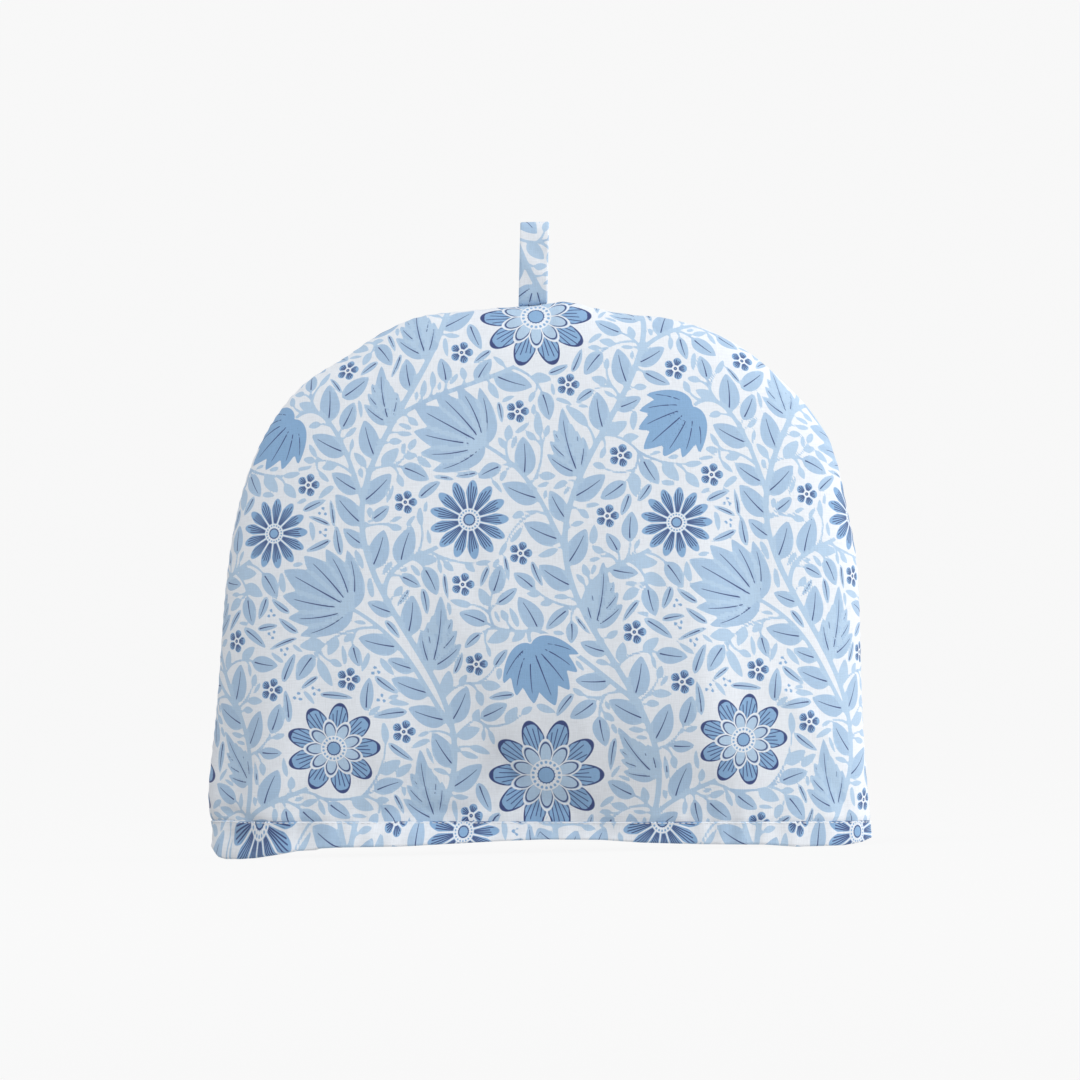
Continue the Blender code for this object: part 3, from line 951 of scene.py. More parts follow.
def make_panel(side):
    vertices, flats = [], []
    for step in (1, COARSENESS):
        x, depth, z = arch_grid(PANEL_COLUMNS, PANEL_ROWS)
        x, depth, z = x[::step, ::step], depth[::step, ::step], z[::step, ::step]
        plain = np.stack([x, SIDES[side] * depth, z], axis=-1)
        normal = outward(plain)
        height = fine_lift(plain, side)
        above = (z - hem_height(x)) / HEM_TUCK["reach"]
        height = height - HEM_TUCK["depth"] * np.exp(-(above**2)) - (step > 1) * WALL
        sheet = plain + normal * height[..., None]
        for seam in (sheet[0], sheet[-1], sheet[:, -1]):
            seam[:, 1] = SIDES[side] * PIECE_GAP / 2
        sheet[:, 0, 2] = hem_height(sheet[:, 0, 0])
        vertices.append(sheet.reshape(-1, 3))
        flats.append(np.stack(flat_place(x, z), axis=-1))
    faces = panel_faces(PANEL_COLUMNS, PANEL_ROWS)
    if side == "front":
        faces = [face[::-1] for face in faces]
    panel = cloth_object(f"cotton_panel_{side}", np.concatenate(vertices), faces)
    area = outline_area(flats[0])
    flat = np.concatenate([grid.reshape(-1, 2) for grid in flats])
    flat[:, 0] *= -SIDES[side]
    start_x, start_y = PRINT_START[side]
    vectors = read_print(1000 * flat[:, 0] + start_x, 1000 * flat[:, 1] + start_y)
    inner = np.arange(len(flat)) >= len(vertices[0])
    for name in ("print_edges", "rosette_place"):
        vectors[name][inner] = INSIDE_OUT
    carry(panel.data, "POINT", vectors, flat[:, 0], flat[:, 1])
    size = np.ptp(flat, axis=0)
    print(f"flat size {size[0] * 1000:.0f} x {size[1] * 1000:.0f} mm, {area * 1e4:.0f} square cm")
    return panel, size, area


panels = {side: make_panel(side) for side in SIDES}

# %% [markdown]
# ## Strips carried round a ring
# The hem band and the loop are both one closed section carried round one closed path. Such a ring
# has two cuts in its flat cloth, so its print is kept per face corner and not per point, or the
# last face would run back through the whole repeat.

# %% Rings
def ring_faces(stations, points):
    """Faces of a ring, and the station and the point of the section at each face corner."""
    faces, corners = [], []
    for i in range(stations):
        for j in range(points):
            ahead, beside = (i + 1) % stations, (j + 1) % points
            around = ((i, j), (i, beside), (ahead, beside), (ahead, j))
            faces.append([a * points + b for a, b in around])
            corners += [(i, j), (i, j + 1), (i + 1, j + 1), (i + 1, j)]
    return faces, np.array(corners).T


def running_length(points):
    """How far along a closed row each point is, with the whole length at the end."""
    steps = np.linalg.norm(np.roll(points, -1, axis=0) - points, axis=1)
    return np.concatenate([[0], np.cumsum(steps)])


print("a ring of 3 by 4 points has", len(ring_faces(3, 4)[0]), "faces")

# %% [markdown]
# ## The hem band
# The band is its own strip, folded over and sewn below the hem line, so the print starts anew
# on it. It is one ring: a section with rounded edges, carried round the mouth. The lower edge
# stands on the table at both ends and hangs a little above it in between.

# %% Hem lift
HEM_LIFT = {
    "front": [
        # x       lift
        (-0.1700, 0.0060),
        (-0.1672, 0.0034),
        (-0.1638, 0.0011),
        (-0.1595, 0.0),
        (-0.1500, 0.0),
        (-0.1420, 0.0004),
        (-0.1350, 0.0013),
        (-0.1280, 0.0023),
        (-0.1215, 0.0036),
        (-0.1130, 0.0038),
        (-0.1105, 0.0046),
        (-0.1020, 0.0049),
        (-0.0700, 0.0047),
        (-0.0180, 0.0063),
        (0.0020, 0.0066),
        (0.0300, 0.0058),
        (0.0500, 0.0040),
        (0.0800, 0.0025),
        (0.1120, 0.0015),
        (0.1280, 0.0),
        (0.1520, 0.0),
        (0.1600, 0.0014),
        (0.1640, 0.0036),
    ],
    "back": [
        (-0.1700, 0.0060),
        (-0.1672, 0.0034),
        (-0.1638, 0.0011),
        (-0.1595, 0.0),
        (-0.1480, 0.0),
        (-0.1280, 0.0030),
        (-0.1130, 0.0050),
        (-0.0500, 0.0058),
        (0.0100, 0.0070),
        (0.0500, 0.0050),
        (0.0800, 0.0034),
        (0.1120, 0.0018),
        (0.1280, 0.0),
        (0.1520, 0.0),
        (0.1600, 0.0014),
        (0.1640, 0.0036),
    ],
}
print("lift rows:", {side: len(rows) for side, rows in HEM_LIFT.items()})

# %% Hem band
HEM_FLARE = 0.3               # how far a lifted edge swings out, as a share of its lift
BAND_STATIONS = 720
BAND_EDGE_RADIUS, BAND_TOP_RADIUS = 0.0012, 0.0007
BAND_FACE_STEPS, BAND_EDGE_STEPS = 14, 4
BAND_GAP = 0.0001
BAND_START = (52.0, 176.0)


def band_section(lower, upper):
    """Depth into the wall and height of the section, from the outer top edge down and round."""
    turns = np.linspace(0, math.pi / 2, BAND_EDGE_STEPS + 1)
    top, foot = BAND_TOP_RADIUS, BAND_EDGE_RADIUS
    face = np.linspace(upper - top, lower + foot, BAND_FACE_STEPS + 1)[1:-1]
    outer = [(top - top * math.sin(t), upper - top + top * math.cos(t)) for t in turns]
    outer += [(0.0, z) for z in face]
    outer += [(foot - foot * math.cos(t), lower + foot - foot * math.sin(t)) for t in turns]
    inner = [(BAND_WALL - depth, z) for depth, z in outer[::-1]]
    return np.array(outer + inner), len(outer)


def signed_power(value, power):
    return np.sign(value) * np.abs(value) ** power


def band_station(turn):
    """The section at one place round the mouth, and how many of its points are outside."""
    side = "front" if math.sin(turn) < 0 else "back"
    across = signed_power(math.cos(turn), 2 / SIDE_ROUNDNESS)
    deep = signed_power(math.sin(turn), 2 / DEPTH_ROUNDNESS)
    foot_x = middle(0) + across * half_width(0)
    lower = float(np.interp(foot_x, *np.array(HEM_LIFT[side]).T))
    upper = hem_height(foot_x) - BAND_GAP
    section, face_points = band_section(lower, upper)
    depth, z = section.T
    plain = np.stack([middle(z) + across * half_width(z), deep * half_depth(z), z], axis=-1)
    level = outward(plain) * (1, 1, 0)
    level /= np.linalg.norm(level, axis=-1, keepdims=True)
    flare = HEM_FLARE * lower * ((upper - z) / (upper - lower)) ** 2
    return plain + level * (fine_lift(plain, side) + flare - depth)[:, None], face_points


def make_band():
    turns = np.linspace(0, 2 * math.pi, BAND_STATIONS, endpoint=False)
    sections, face_points = zip(*map(band_station, turns))
    rings = np.array(sections)
    faces, (i, j) = ring_faces(*rings.shape[:2])
    band = cloth_object("cotton_hem_band", rings.reshape(-1, 3), faces)
    round_mouth = running_length(rings[:, BAND_FACE_STEPS // 2])
    down = running_length(rings[3 * BAND_STATIONS // 4])
    flat_x, flat_y = round_mouth[i], -down[j]
    vectors = read_print(1000 * flat_x + BAND_START[0], 1000 * flat_y + BAND_START[1])
    for name in ("print_edges", "rosette_place"):
        vectors[name][j > face_points[0]] = INSIDE_OUT
    carry(band.data, "CORNER", vectors, flat_x, flat_y)
    print(f"round the mouth {round_mouth[-1] * 1000:.0f} mm, strip {down[-1] * 1000:.0f} mm")
    return band, (round_mouth[-1], down[-1] / 2), rings


band, band_size, band_rings = make_band()

# %% [markdown]
# ## The hanging loop
# The loop is a strip with folded edges, doubled over and sewn into the top of the seam. Its path
# is an oval that pinches in at both ends. A rounded section is carried along it, and the whole
# leans a little. A curve with a bevel would do as well, but then the strip could not follow the
# seam at its root.

# %% Loop
LOOP_WIDTH, LOOP_HEIGHT, LOOP_WALL = 0.0145, 0.0420, 0.0018
LOOP_SPREAD, LOOP_END = 0.0042, 0.0015
LOOP_X, LOOP_LEAN = 0.0022, math.radians(2.6)
LOOP_STATIONS, LOOP_COLUMNS, LOOP_EDGE_STEPS = 150, 16, 5
LOOP_START = (22.0, 150.0)
LOOP_FLUTTER = 0.0004


def seam_top(x):
    """Height of the top of the seam at this x."""
    z = HEIGHT
    for _ in range(SETTLE_ROUNDS):
        across = abs((x - middle(z)) / half_width(z))
        rise = (1 - across**SIDE_ROUNDNESS) ** (1 / TOP_ROUNDNESS)
        z = hem_height(x) + rise * (HEIGHT - hem_height(x))
    return z + float(lift(np.array([x, 0.0, z]), "front"))


def loop_section():
    """Offset across the strip and out of it, once round its rounded edges, the outside first."""
    half, wall = LOOP_WIDTH / 2, LOOP_WALL / 2
    turns = np.linspace(math.pi / 2, -math.pi / 2, LOOP_EDGE_STEPS + 1)[1:-1]
    face = np.linspace(-half + wall, half - wall, LOOP_COLUMNS + 1)
    right = [(half - wall + wall * math.cos(t), wall * math.sin(t)) for t in turns]
    outside = [(offset, wall) for offset in face]
    inside = [(-offset, -out) for offset, out in outside]
    left = [(-offset, -out) for offset, out in right]
    return np.array(outside + right + inside + left)


def make_loop():
    tall = (LOOP_HEIGHT - LOOP_WALL) / 2
    ends = math.sqrt(LOOP_END * tall)
    turns = np.linspace(0, 2 * math.pi, LOOP_STATIONS, endpoint=False)
    depth = np.sin(turns) * (ends - (ends - LOOP_SPREAD) * np.sin(turns) ** 2)
    path = np.stack([depth, LOOP_HEIGHT / 2 - tall * np.cos(turns)], axis=-1)
    tangent = np.roll(path, -1, axis=0) - np.roll(path, 1, axis=0)
    tangent /= np.linalg.norm(tangent, axis=1, keepdims=True)
    out = np.stack([tangent[:, 1], -tangent[:, 0]], axis=-1)
    section = loop_section()
    offset = section[:, 0]
    y = path[:, :1] + out[:, :1] * section[:, 1]
    z = path[:, 1:] + out[:, 1:] * section[:, 1]
    y = y + LOOP_FLUTTER * np.sin(z * 260 + offset * 330) * np.sin(math.pi * z / LOOP_HEIGHT) ** 2
    root = np.array([seam_top(LOOP_X + value) for value in offset]) + PIECE_GAP
    x = LOOP_X + offset + z * math.sin(LOOP_LEAN)
    level = root + (seam_top(LOOP_X) + PIECE_GAP - root) * z / LOOP_HEIGHT
    vertices = np.stack([x, y, level + z], axis=-1)
    faces, (i, j) = ring_faces(LOOP_STATIONS, len(section))
    loop = cloth_object("cotton_loop", vertices.reshape(-1, 3), faces)
    along = running_length(path)
    flat_x, flat_y = np.append(offset, offset[0])[j], along[i]
    vectors = read_print(1000 * flat_x + LOOP_START[0], 1000 * flat_y + LOOP_START[1])
    carry(loop.data, "CORNER", vectors, flat_x, flat_y)
    print(f"strip {along[-1] * 1000:.0f} mm long")
    return loop, (LOOP_WIDTH, along[-1])


loop, loop_size = make_loop()

# %% [markdown]
# ## Writing materials as sums
# A shader is arithmetic, and it reads best as such. A Signal wraps one output socket, and +, -,
# * and / on it add Math nodes. Anything else comes from one method, which takes the node's type,
# its settings and what goes into its sockets.

# %% Signals
class Signal:
    """An output socket that can be calculated with."""

    def __init__(self, board, socket):
        self.board, self.socket = board, socket

    def math(self, operation, *others, clamp=False):
        settings = {"operation": operation, "use_clamp": clamp}
        return self.board.node("ShaderNodeMath", settings, [self, *others])

    def __add__(self, other):
        return self.math("ADD", other)

    __radd__ = __add__

    def __mul__(self, other):
        return self.math("MULTIPLY", other)

    __rmul__ = __mul__

    def __sub__(self, other):
        return self.math("SUBTRACT", other)

    def __rsub__(self, other):
        return self.board.node("ShaderNodeMath", {"operation": "SUBTRACT"}, [other, self])

    def __truediv__(self, other):
        return self.math("DIVIDE", other)

    def __abs__(self):
        return self.math("ABSOLUTE")

    def below(self, edge, soft):
        """1 under the edge and 0 over it, with a soft step between."""
        return self.math("MULTIPLY_ADD", -1 / soft, 0.5 + edge / soft, clamp=True)

    def above(self, edge, soft):
        return self.math("MULTIPLY_ADD", 1 / soft, 0.5 - edge / soft, clamp=True)

    def parts(self):
        """The three numbers of a vector."""
        split = self.board.node("ShaderNodeSeparateXYZ", {}, [self])
        return [Signal(self.board, socket) for socket in split.socket.node.outputs]


print("signals ready")


# %% Boards
class Board:
    """A material's node tree."""

    def __init__(self, name):
        self.material = bpy.data.materials.new(name)
        self.material.use_nodes = True
        self.tree = self.material.node_tree
        self.shader = self.tree.nodes["Principled BSDF"]

    def plug(self, socket, value):
        if isinstance(value, Signal):
            self.tree.links.new(value.socket, socket)
        else:
            socket.default_value = value

    def node(self, kind, settings, inputs, output=0):
        made = self.tree.nodes.new(kind)
        for name, value in settings.items():
            setattr(made, name, value)
        pairs = inputs.items() if isinstance(inputs, dict) else enumerate(inputs)
        for key, value in pairs:
            self.plug(made.inputs[key], value)
        return Signal(self, made.outputs[output])

    def attribute(self, name):
        return self.node("ShaderNodeAttribute", {"attribute_name": name}, [], "Vector")

    def mix(self, share, first, second):
        """Second over first, by share. Colours are given as linear red, green and blue."""
        colours = [c if isinstance(c, Signal) else (*c, 1.0) for c in (first, second)]
        settings = {"data_type": "RGBA", "clamp_factor": False}
        return self.node("ShaderNodeMix", settings, {0: share, 6: colours[0], 7: colours[1]}, 2)

    def noise(self, place, scale, detail=2.0):
        inputs = {"Vector": place, "Scale": scale, "Detail": detail}
        return self.node("ShaderNodeTexNoise", {}, inputs, "Fac")

    def finish(self, **inputs):
        for name, value in inputs.items():
            self.plug(self.shader.inputs[name.replace("_", " ")], value)
        return self.material


print("boards ready")

# %% [markdown]
# ## Printed cotton
# The material draws the print in the order of a hand block printer: pale leaves first, mid blue
# shapes with a bare halo round them, and navy lines last. A rosette is folded up by angle, so
# that one petal's formula draws them all: an ellipse, a gap to the next petal, and a few fine
# lines that fan out from its root.

# %% Colours and line widths
COTTON = (0.83, 0.868, 0.925)
PALE_BLUE = (0.41, 0.57, 0.765)
SOFT_BLUE = (0.47, 0.63, 0.81)
MID_BLUE = (0.255, 0.44, 0.69)
NAVY = (0.038, 0.062, 0.20)
EDGE = 0.22                   # softness of a printed edge, in millimetres like all of the print
LINE = 0.24                   # half width of a navy line
print("printed edges are soft over", EDGE, "mm")

# %% Foliage
VEIN_FROM, VEIN_TO, VEIN_SOFT = 0.10, 0.82, 0.04    # shares of a leaf's length
VEIN_TAPER, VEIN_INSET = 1.25, 0.5


def foliage(board):
    """Pale leaves, mid blue shapes in a bare halo, and the navy veins of both."""
    pale, mid, _ = board.attribute("print_edges").parts()
    share, off, vein = board.attribute("leaf_place").parts()
    veined = vein.above(0.1, 0.05)
    colour = board.mix(pale.below(0, EDGE), COTTON, board.mix(veined, SOFT_BLUE, PALE_BLUE))
    colour = board.mix(mid.below(HALO, EDGE), colour, COTTON)
    colour = board.mix(mid.below(0, EDGE), colour, MID_BLUE)
    rib = (abs(off) - vein * (VEIN_TAPER - share)).below(0, EDGE) * veined
    rib = rib * share.above(VEIN_FROM, VEIN_SOFT) * share.below(VEIN_TO, VEIN_SOFT)
    rib = rib * pale.math("MINIMUM", mid).below(-VEIN_INSET, EDGE)
    return board.mix(rib, colour, NAVY)


print("foliage: leaf, halo, vein")

# %% Petals
PETAL_CENTRE, PETAL_REACH = 0.62, 0.38    # shares of the rosette's radius
PETAL_GAP = 0.35
PETAL_LINES, PETAL_LINES_REACH, LINE_UNEVENNESS = 6, 0.74, 0.22
NAVY_TIP, TIP_TEETH, TIP_DEPTH = 1.33, 3, 0.16
INNER_RING, INNER_OUTLINE = 0.60, 0.45
BIG_ROSETTE = 22.0            # a larger one has navy tips and an inner ring


def rosette_signals(board):
    """The polar place in the nearest rosette, that rosette's form, and 1 where it is near."""
    x, y, rim = board.attribute("rosette_place").parts()
    sector, half, radius = board.attribute("rosette_form").parts()
    place = (x * x + y * y).math("SQRT")
    return place, y.math("ARCTAN2", x), sector, half, radius, rim.below(HALO + 0.3, 0.3)


def petal_ring(rosette, size, shift):
    """One ring's distances to its edge and to the next petal, its folded angle and its reach."""
    place, turn, sector, half, radius, _ = rosette
    folded = ((turn / sector + 0.5 + shift).math("FRACT") - 0.5) * sector
    along, across = place * folded.math("COSINE"), place * folded.math("SINE")
    long = (along / (radius * size) - PETAL_CENTRE) * (1 / PETAL_REACH)
    wide = across / (half * size)
    reach = (long * long + wide * wide).math("SQRT")
    return (reach - 1) * (half * size), (sector * 0.5 - abs(folded)) * place, folded, reach


def scatter(first, second):
    """From 0 to 1, as if at random, but the same for the same pair of numbers."""
    return ((first * 12.99 + second * 7.23).math("SINE") * 43.7).math("FRACT")


def outer_petals(board, colour, rosette, core):
    """Petals in a bare halo, ragged navy tips on the big ones, and fine lines from the root."""
    place, turn, sector, _, radius, near = rosette
    edge, gap, folded, reach = petal_ring(rosette, 1.0, 0.0)
    colour = board.mix(edge.math("MINIMUM", core).below(HALO, EDGE) * near, colour, COTTON)
    petals = edge.below(0, EDGE) * gap.above(PETAL_GAP, EDGE) * near
    colour = board.mix(petals, colour, MID_BLUE)
    ragged = abs((folded / sector * TIP_TEETH).math("FRACT") - 0.5) * TIP_DEPTH
    tip = (reach + ragged + place / radius * 0.5).above(NAVY_TIP, 0.03)
    colour = board.mix(petals * tip * radius.above(BIG_ROSETTE, 0.5), colour, NAVY)
    lane = folded / sector * PETAL_LINES
    beside = abs(lane.math("FRACT") - 0.5) * sector * place / PETAL_LINES
    short = scatter(lane.math("FLOOR"), (turn / sector).math("FLOOR")) * LINE_UNEVENNESS
    lines = beside.below(LINE, EDGE) * (place / radius - short).below(PETAL_LINES_REACH, 0.02)
    lines = lines * edge.below(-PETAL_GAP, EDGE) * gap.above(PETAL_GAP + 0.3, EDGE) * near
    return board.mix(lines, colour, NAVY)


def inner_petals(board, colour, rosette):
    big = rosette[4].above(BIG_ROSETTE, 0.5) * rosette[5]
    edge, gap, _, _ = petal_ring(rosette, INNER_RING, 0.5)
    petals = edge.below(0, EDGE) * gap.above(PETAL_GAP, EDGE) * big
    colour = board.mix(edge.below(0.6, EDGE) * big, colour, COTTON)
    colour = board.mix(petals, colour, SOFT_BLUE)
    return board.mix(abs(edge + INNER_OUTLINE).below(LINE, EDGE) * petals, colour, NAVY)


print("petals:", PETAL_LINES, "lines each")

# %% Hearts and the whole print
CORE, HEART = 0.27, 0.15      # shares of the rosette's radius
SEED_RINGS, SEEDS_ROUND, SEED_SIZE = 11, 18, 0.30
SEEDS_FROM = 12.0             # the smallest rosette with seeds


def heart_and_seeds(board, colour, rosette, core):
    place, turn, _, _, radius, near = rosette
    colour = board.mix(core.below(0.2, EDGE), colour, COTTON)
    ring = abs((place / radius * SEED_RINGS).math("FRACT") - 0.5)
    around = abs((turn * (SEEDS_ROUND / (2 * math.pi))).math("FRACT") - 0.5)
    seeds = (ring * ring + around * around).math("SQRT").below(SEED_SIZE, 0.1)
    seeds = seeds * core.below(-0.4, EDGE) * radius.above(SEEDS_FROM, 0.5)
    colour = board.mix(seeds, colour, MID_BLUE)
    heart = place - radius * HEART + (1 - near) * FAR
    colour = board.mix(heart.below(0, EDGE), colour, MID_BLUE)
    return board.mix(abs(heart + 0.3).below(LINE, EDGE), colour, NAVY)


def printed_cotton():
    board = Board("printed cotton")
    rosette = rosette_signals(board)
    core = rosette[0] - rosette[4] * CORE + (1 - rosette[5]) * FAR
    colour = outer_petals(board, foliage(board), rosette, core)
    colour = inner_petals(board, colour, rosette)
    return cotton_surface(board, heart_and_seeds(board, colour, rosette, core))


print("seeds round a heart:", SEEDS_ROUND)

# %% [markdown]
# ## The weave
# Plain cotton shows as fine crossed threads, some a little thicker than others. Two stretched
# noises, one along the cloth and one across it, are both the slubs in the colour and, with the
# weave itself, the bump. All of it is read from the flat UV map, so that it follows the cloth.

# %% Cloth surface
THREAD_PITCH = 0.00055
SLUB_LONG, SLUB_FINE = 170.0, 1900.0
COTTON_ROUGHNESS = 0.86
WEAVE_DEPTH = 0.00016


def cotton_surface(board, colour):
    flat = board.node("ShaderNodeUVMap", {"uv_map": "flat"}, [])
    u, v, _ = flat.parts()
    lengthwise = board.node("ShaderNodeCombineXYZ", {}, [u * SLUB_FINE, v * SLUB_LONG, 0.0])
    crosswise = board.node("ShaderNodeCombineXYZ", {}, [u * SLUB_LONG, v * SLUB_FINE, 0.0])
    slubs = board.noise(lengthwise, 1.0, 1.0) + board.noise(crosswise, 1.0, 1.0)
    turns = 2 * math.pi / THREAD_PITCH
    weave = (u * turns).math("SINE") * (v * turns).math("SINE")
    shade = (slubs - 1.0) * 0.16 + 0.985
    tinted = board.node(
        "ShaderNodeVectorMath", {"operation": "SCALE"}, {0: colour, "Scale": shade}
    )
    height = slubs * 0.75 + weave * 0.25
    bump = board.node(
        "ShaderNodeBump", {}, {"Strength": 0.55, "Distance": WEAVE_DEPTH, "Height": height}
    )
    return board.finish(
        Base_Color=tinted, Roughness=COTTON_ROUGHNESS, Normal=bump, Sheen_Weight=0.12
    )


cotton = printed_cotton()
for piece in (*(panel for panel, _, _ in panels.values()), band, loop):
    piece.data.materials.append(cotton)
print("printed cotton:", len(cotton.node_tree.nodes), "nodes")

# %% [markdown]
# ## Stitches
# A row of machine stitches holds the band just below the hem line. Geometry Nodes lay it: the
# path is resampled to one point per stitch, a small bead is instanced on each and stretched along
# the path, and the instances are made real, because an exported model has no instances. Placing
# 250 beads by hand would never stay even.

# %% Stitch tree
STITCH_INPUTS = {
    "Geometry": "Geometry",
    "Pitch": "Float",
    "Stitch Length": "Float",
    "Thread Radius": "Float",
    "Thread": "Material",
}
STITCH_NODES = {
    "start": "NodeGroupInput",
    "curve": "GeometryNodeMeshToCurve",
    "resample": "GeometryNodeResampleCurve",
    "bead": "GeometryNodeMeshUVSphere",
    "half": "ShaderNodeMath",
    "size": "ShaderNodeCombineXYZ",
    "tangent": "GeometryNodeInputTangent",
    "along": "FunctionNodeAlignRotationToVector",
    "beads": "GeometryNodeInstanceOnPoints",
    "real": "GeometryNodeRealizeInstances",
    "smooth": "GeometryNodeSetShadeSmooth",
    "finish": "GeometryNodeSetMaterial",
    "end": "NodeGroupOutput",
}
STITCH_LINKS = [
    # from    output           to          input
    ("start", "Geometry", "curve", "Mesh"),
    ("curve", "Curve", "resample", "Curve"),
    ("start", "Pitch", "resample", "Length"),
    ("resample", "Curve", "beads", "Points"),
    ("bead", "Mesh", "beads", "Instance"),
    ("tangent", "Tangent", "along", "Vector"),
    ("along", "Rotation", "beads", "Rotation"),
    ("start", "Stitch Length", "half", 0),
    ("half", "Value", "size", "X"),
    ("start", "Thread Radius", "size", "Y"),
    ("start", "Thread Radius", "size", "Z"),
    ("size", "Vector", "beads", "Scale"),
    ("beads", "Instances", "real", "Geometry"),
    ("real", "Geometry", "smooth", "Geometry"),
    ("smooth", "Geometry", "finish", "Geometry"),
    ("start", "Thread", "finish", "Material"),
    ("finish", "Geometry", "end", "Geometry"),
]


print("stitch tree:", len(STITCH_NODES), "nodes,", len(STITCH_LINKS), "links")


# %% Building the tree
def stitch_tree():
    tree = bpy.data.node_groups.new("stitches", "GeometryNodeTree")
    face = tree.interface
    sockets = {
        name: face.new_socket(name, in_out="INPUT", socket_type=f"NodeSocket{kind}").identifier
        for name, kind in STITCH_INPUTS.items()
    }
    face.new_socket("Geometry", in_out="OUTPUT", socket_type="NodeSocketGeometry")
    nodes = {name: tree.nodes.new(kind) for name, kind in STITCH_NODES.items()}
    nodes["resample"].mode = "LENGTH"
    nodes["half"].operation = "MULTIPLY"
    nodes["half"].inputs[1].default_value = 0.5
    nodes["along"].axis = "X"
    for name, value in (("Segments", 8), ("Rings", 5), ("Radius", 1.0)):
        nodes["bead"].inputs[name].default_value = value
    for source, output, target, socket in STITCH_LINKS:
        tree.links.new(nodes[source].outputs[output], nodes[target].inputs[socket])
    return tree, sockets


def thread_material():
    board = Board("sewing thread")
    place = board.node("ShaderNodeTexCoord", {}, [], "Object")
    twist = board.noise(place, 2600.0)
    colour = board.mix(twist, (0.80, 0.82, 0.85), (0.90, 0.91, 0.92))
    bump = board.node(
        "ShaderNodeBump", {}, {"Strength": 0.4, "Distance": 0.0001, "Height": twist}
    )
    return board.finish(Base_Color=colour, Roughness=0.6, Normal=bump)


stitches, stitch_sockets = stitch_tree()
thread = thread_material()
print("stitch inputs:", list(stitch_sockets))

# %% Rows of stitches
STITCH = {"Pitch": 0.0030, "Stitch Length": 0.0023, "Thread Radius": 0.00022, "Thread": thread}
STITCH_PROUD = 0.4            # how far out a stitch's middle is, in thread radii
HEM_ROW = 4                   # the band's row of points that the stitches follow


def sew(name, points):
    """A closed row of stitches along points, as a plain mesh."""
    path = bpy.data.meshes.new(f"{name}_path")
    edges = [(i, (i + 1) % len(points)) for i in range(len(points))]
    path.from_pydata(points.tolist(), edges, [])
    row = bpy.data.objects.new(f"{name}_row", path)
    bpy.context.scene.collection.objects.link(row)
    modifier = row.modifiers.new("stitches", "NODES")
    modifier.node_group = stitches
    for socket, value in STITCH.items():
        modifier[stitch_sockets[socket]] = value
    evaluated = row.evaluated_get(bpy.context.evaluated_depsgraph_get())
    made = bpy.data.objects.new(name, bpy.data.meshes.new_from_object(evaluated))
    bpy.context.scene.collection.objects.link(made)
    bpy.data.objects.remove(row, do_unlink=True)
    print(f"{name}: {len(made.data.polygons)} faces")
    return made


outer, inner = band_rings[:, HEM_ROW], band_rings[:, -1 - HEM_ROW]
out = (outer - inner) / np.linalg.norm(outer - inner, axis=1, keepdims=True)
hem_stitches = sew("hem_stitches", outer + out * STITCH["Thread Radius"] * STITCH_PROUD)

# %% [markdown]
# ## Floor and light
# The floor is the bottom of one wide pale bowl whose rim is the backdrop on every side. It glows
# from within like a light table, so the cosy stands in an even pale field however it is seen. The
# light is a bright room, brighter on the right, with one large window beside the cosy, which
# brings out the folds, and one high on the left, which shades what hangs over the hem. Nothing
# in it is hard.

# %% Stage
STAGE_COLOUR, STAGE_GLOW = (0.03, 0.03, 0.03), 0.918
STAGE_RADIUS, STAGE_BEND, STAGE_HEIGHT, STAGE_SIDES = 14.0, 3.0, 9.0, 96


def bowl_mesh():
    """A disc, rings that bend up round it, and a rim."""
    turns = np.linspace(0, math.pi / 2, 13)
    edge = STAGE_RADIUS - STAGE_BEND
    profile = [(edge * share, 0.0) for share in (0.1, 0.4, 0.7)]
    profile += [
        (edge + STAGE_BEND * math.sin(t), STAGE_BEND - STAGE_BEND * math.cos(t)) for t in turns
    ]
    profile.append((STAGE_RADIUS, STAGE_HEIGHT))
    ways = np.linspace(0, 2 * math.pi, STAGE_SIDES, endpoint=False)
    vertices = [(r * math.cos(way), r * math.sin(way), z) for r, z in profile for way in ways]
    faces = [tuple(range(STAGE_SIDES))]
    for ring in range(len(profile) - 1):
        for i in range(STAGE_SIDES):
            near, far = ring * STAGE_SIDES, (ring + 1) * STAGE_SIDES
            beside = (i + 1) % STAGE_SIDES
            faces.append((near + i, far + i, far + beside, near + beside))
    mesh = bpy.data.meshes.new("floor")
    mesh.from_pydata(vertices, [], faces)
    mesh.shade_smooth()
    return mesh


def make_stage():
    floor = bpy.data.objects.new("floor", bowl_mesh())
    bpy.context.scene.collection.objects.link(floor)
    board = Board("pale floor")
    floor.data.materials.append(
        board.finish(
            Base_Color=(*STAGE_COLOUR, 1.0),
            Roughness=1.0,
            Specular_IOR_Level=0.0,
            Emission_Color=(1.0, 1.0, 1.0, 1.0),
            Emission_Strength=STAGE_GLOW,
        )
    )
    floor.visible_diffuse = False


make_stage()
print("stage:", 2 * STAGE_RADIUS, "m across")

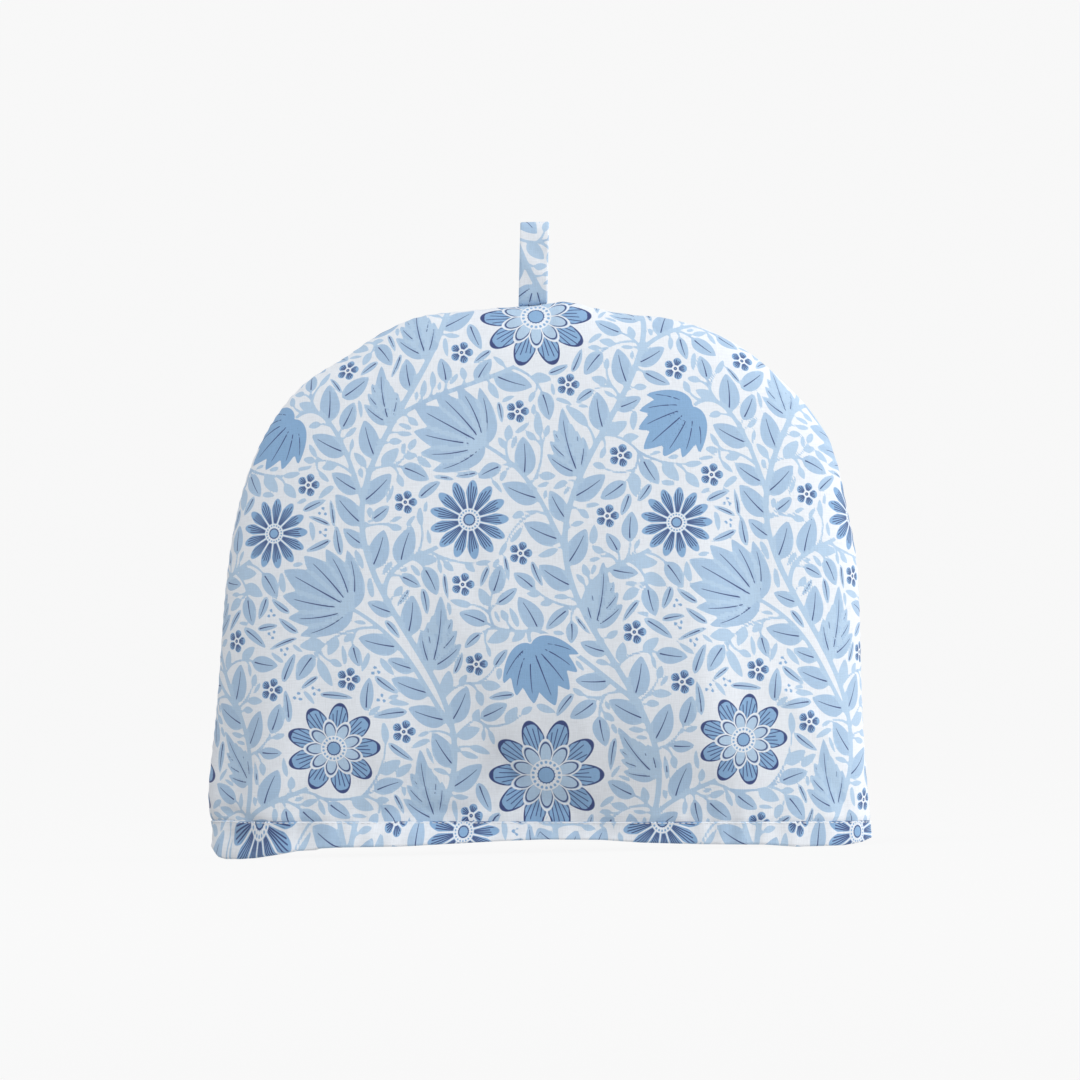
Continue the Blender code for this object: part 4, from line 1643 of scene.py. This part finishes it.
# %% Lamps and room
LAMPS = [
    # name    place                size  watts  colour
    ("side window", (3.25, -0.35, 0.71), 1.6, 49.0, (1.0, 0.995, 0.985)),
    ("high window", (-0.95, -1.64, 2.84), 1.6, 42.0, (0.98, 0.99, 1.0)),
]
ROOM_LIGHT, ROOM_SLOPE = 0.63, 0.29    # mean glow, and how much more comes from the right


def make_light():
    for name, place, size, watts, colour in LAMPS:
        lamp = bpy.data.objects.new(name, bpy.data.lights.new(name, "AREA"))
        lamp.data.size, lamp.data.energy, lamp.data.color = size, watts, colour
        lamp.location = place
        away = Vector(place) - Vector((0, 0, HEIGHT / 2))
        lamp.rotation_euler = away.to_track_quat("Z", "Y").to_euler()
        lamp.visible_camera = False
        bpy.context.scene.collection.objects.link(lamp)
    world = bpy.data.worlds.new("bright room")
    world.use_nodes = True
    nodes, links = world.node_tree.nodes, world.node_tree.links
    place, parts = nodes.new("ShaderNodeTexCoord"), nodes.new("ShaderNodeSeparateXYZ")
    light = nodes.new("ShaderNodeMath")
    light.operation = "MULTIPLY_ADD"
    light.inputs[1].default_value = ROOM_SLOPE
    light.inputs[2].default_value = ROOM_LIGHT
    links.new(place.outputs["Generated"], parts.inputs["Vector"])
    links.new(parts.outputs["X"], light.inputs[0])
    links.new(light.outputs["Value"], nodes["Background"].inputs["Strength"])
    nodes["Background"].inputs["Color"].default_value = (1, 1, 1, 1)
    bpy.context.scene.world = world
    bpy.context.scene.view_settings.view_transform = "Standard"


make_light()
print("lamps:", [row[0] for row in LAMPS])

# %% [markdown]
# ## Attaching the pieces
# Every piece rides on the one body of the cosy. The panels, the band and the loop are sheets of
# cloth, and the solid that each of them dresses is hidden.

# %% Attaching the pieces
for side, (panel, size, area) in panels.items():
    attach(panel, "root")
    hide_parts(f"panel_{side}")
    cut = tuple(map(float, size))
for piece, node, slot, size, extras in (
    (band, "hem_band", "hem_cotton", band_size, [hem_stitches]),
    (loop, "loop", "loop_cotton", loop_size, []),
):
    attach(piece, "root")
    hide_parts(node)
    tuple(map(float, size))
    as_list(extras)
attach(hem_stitches, "root")
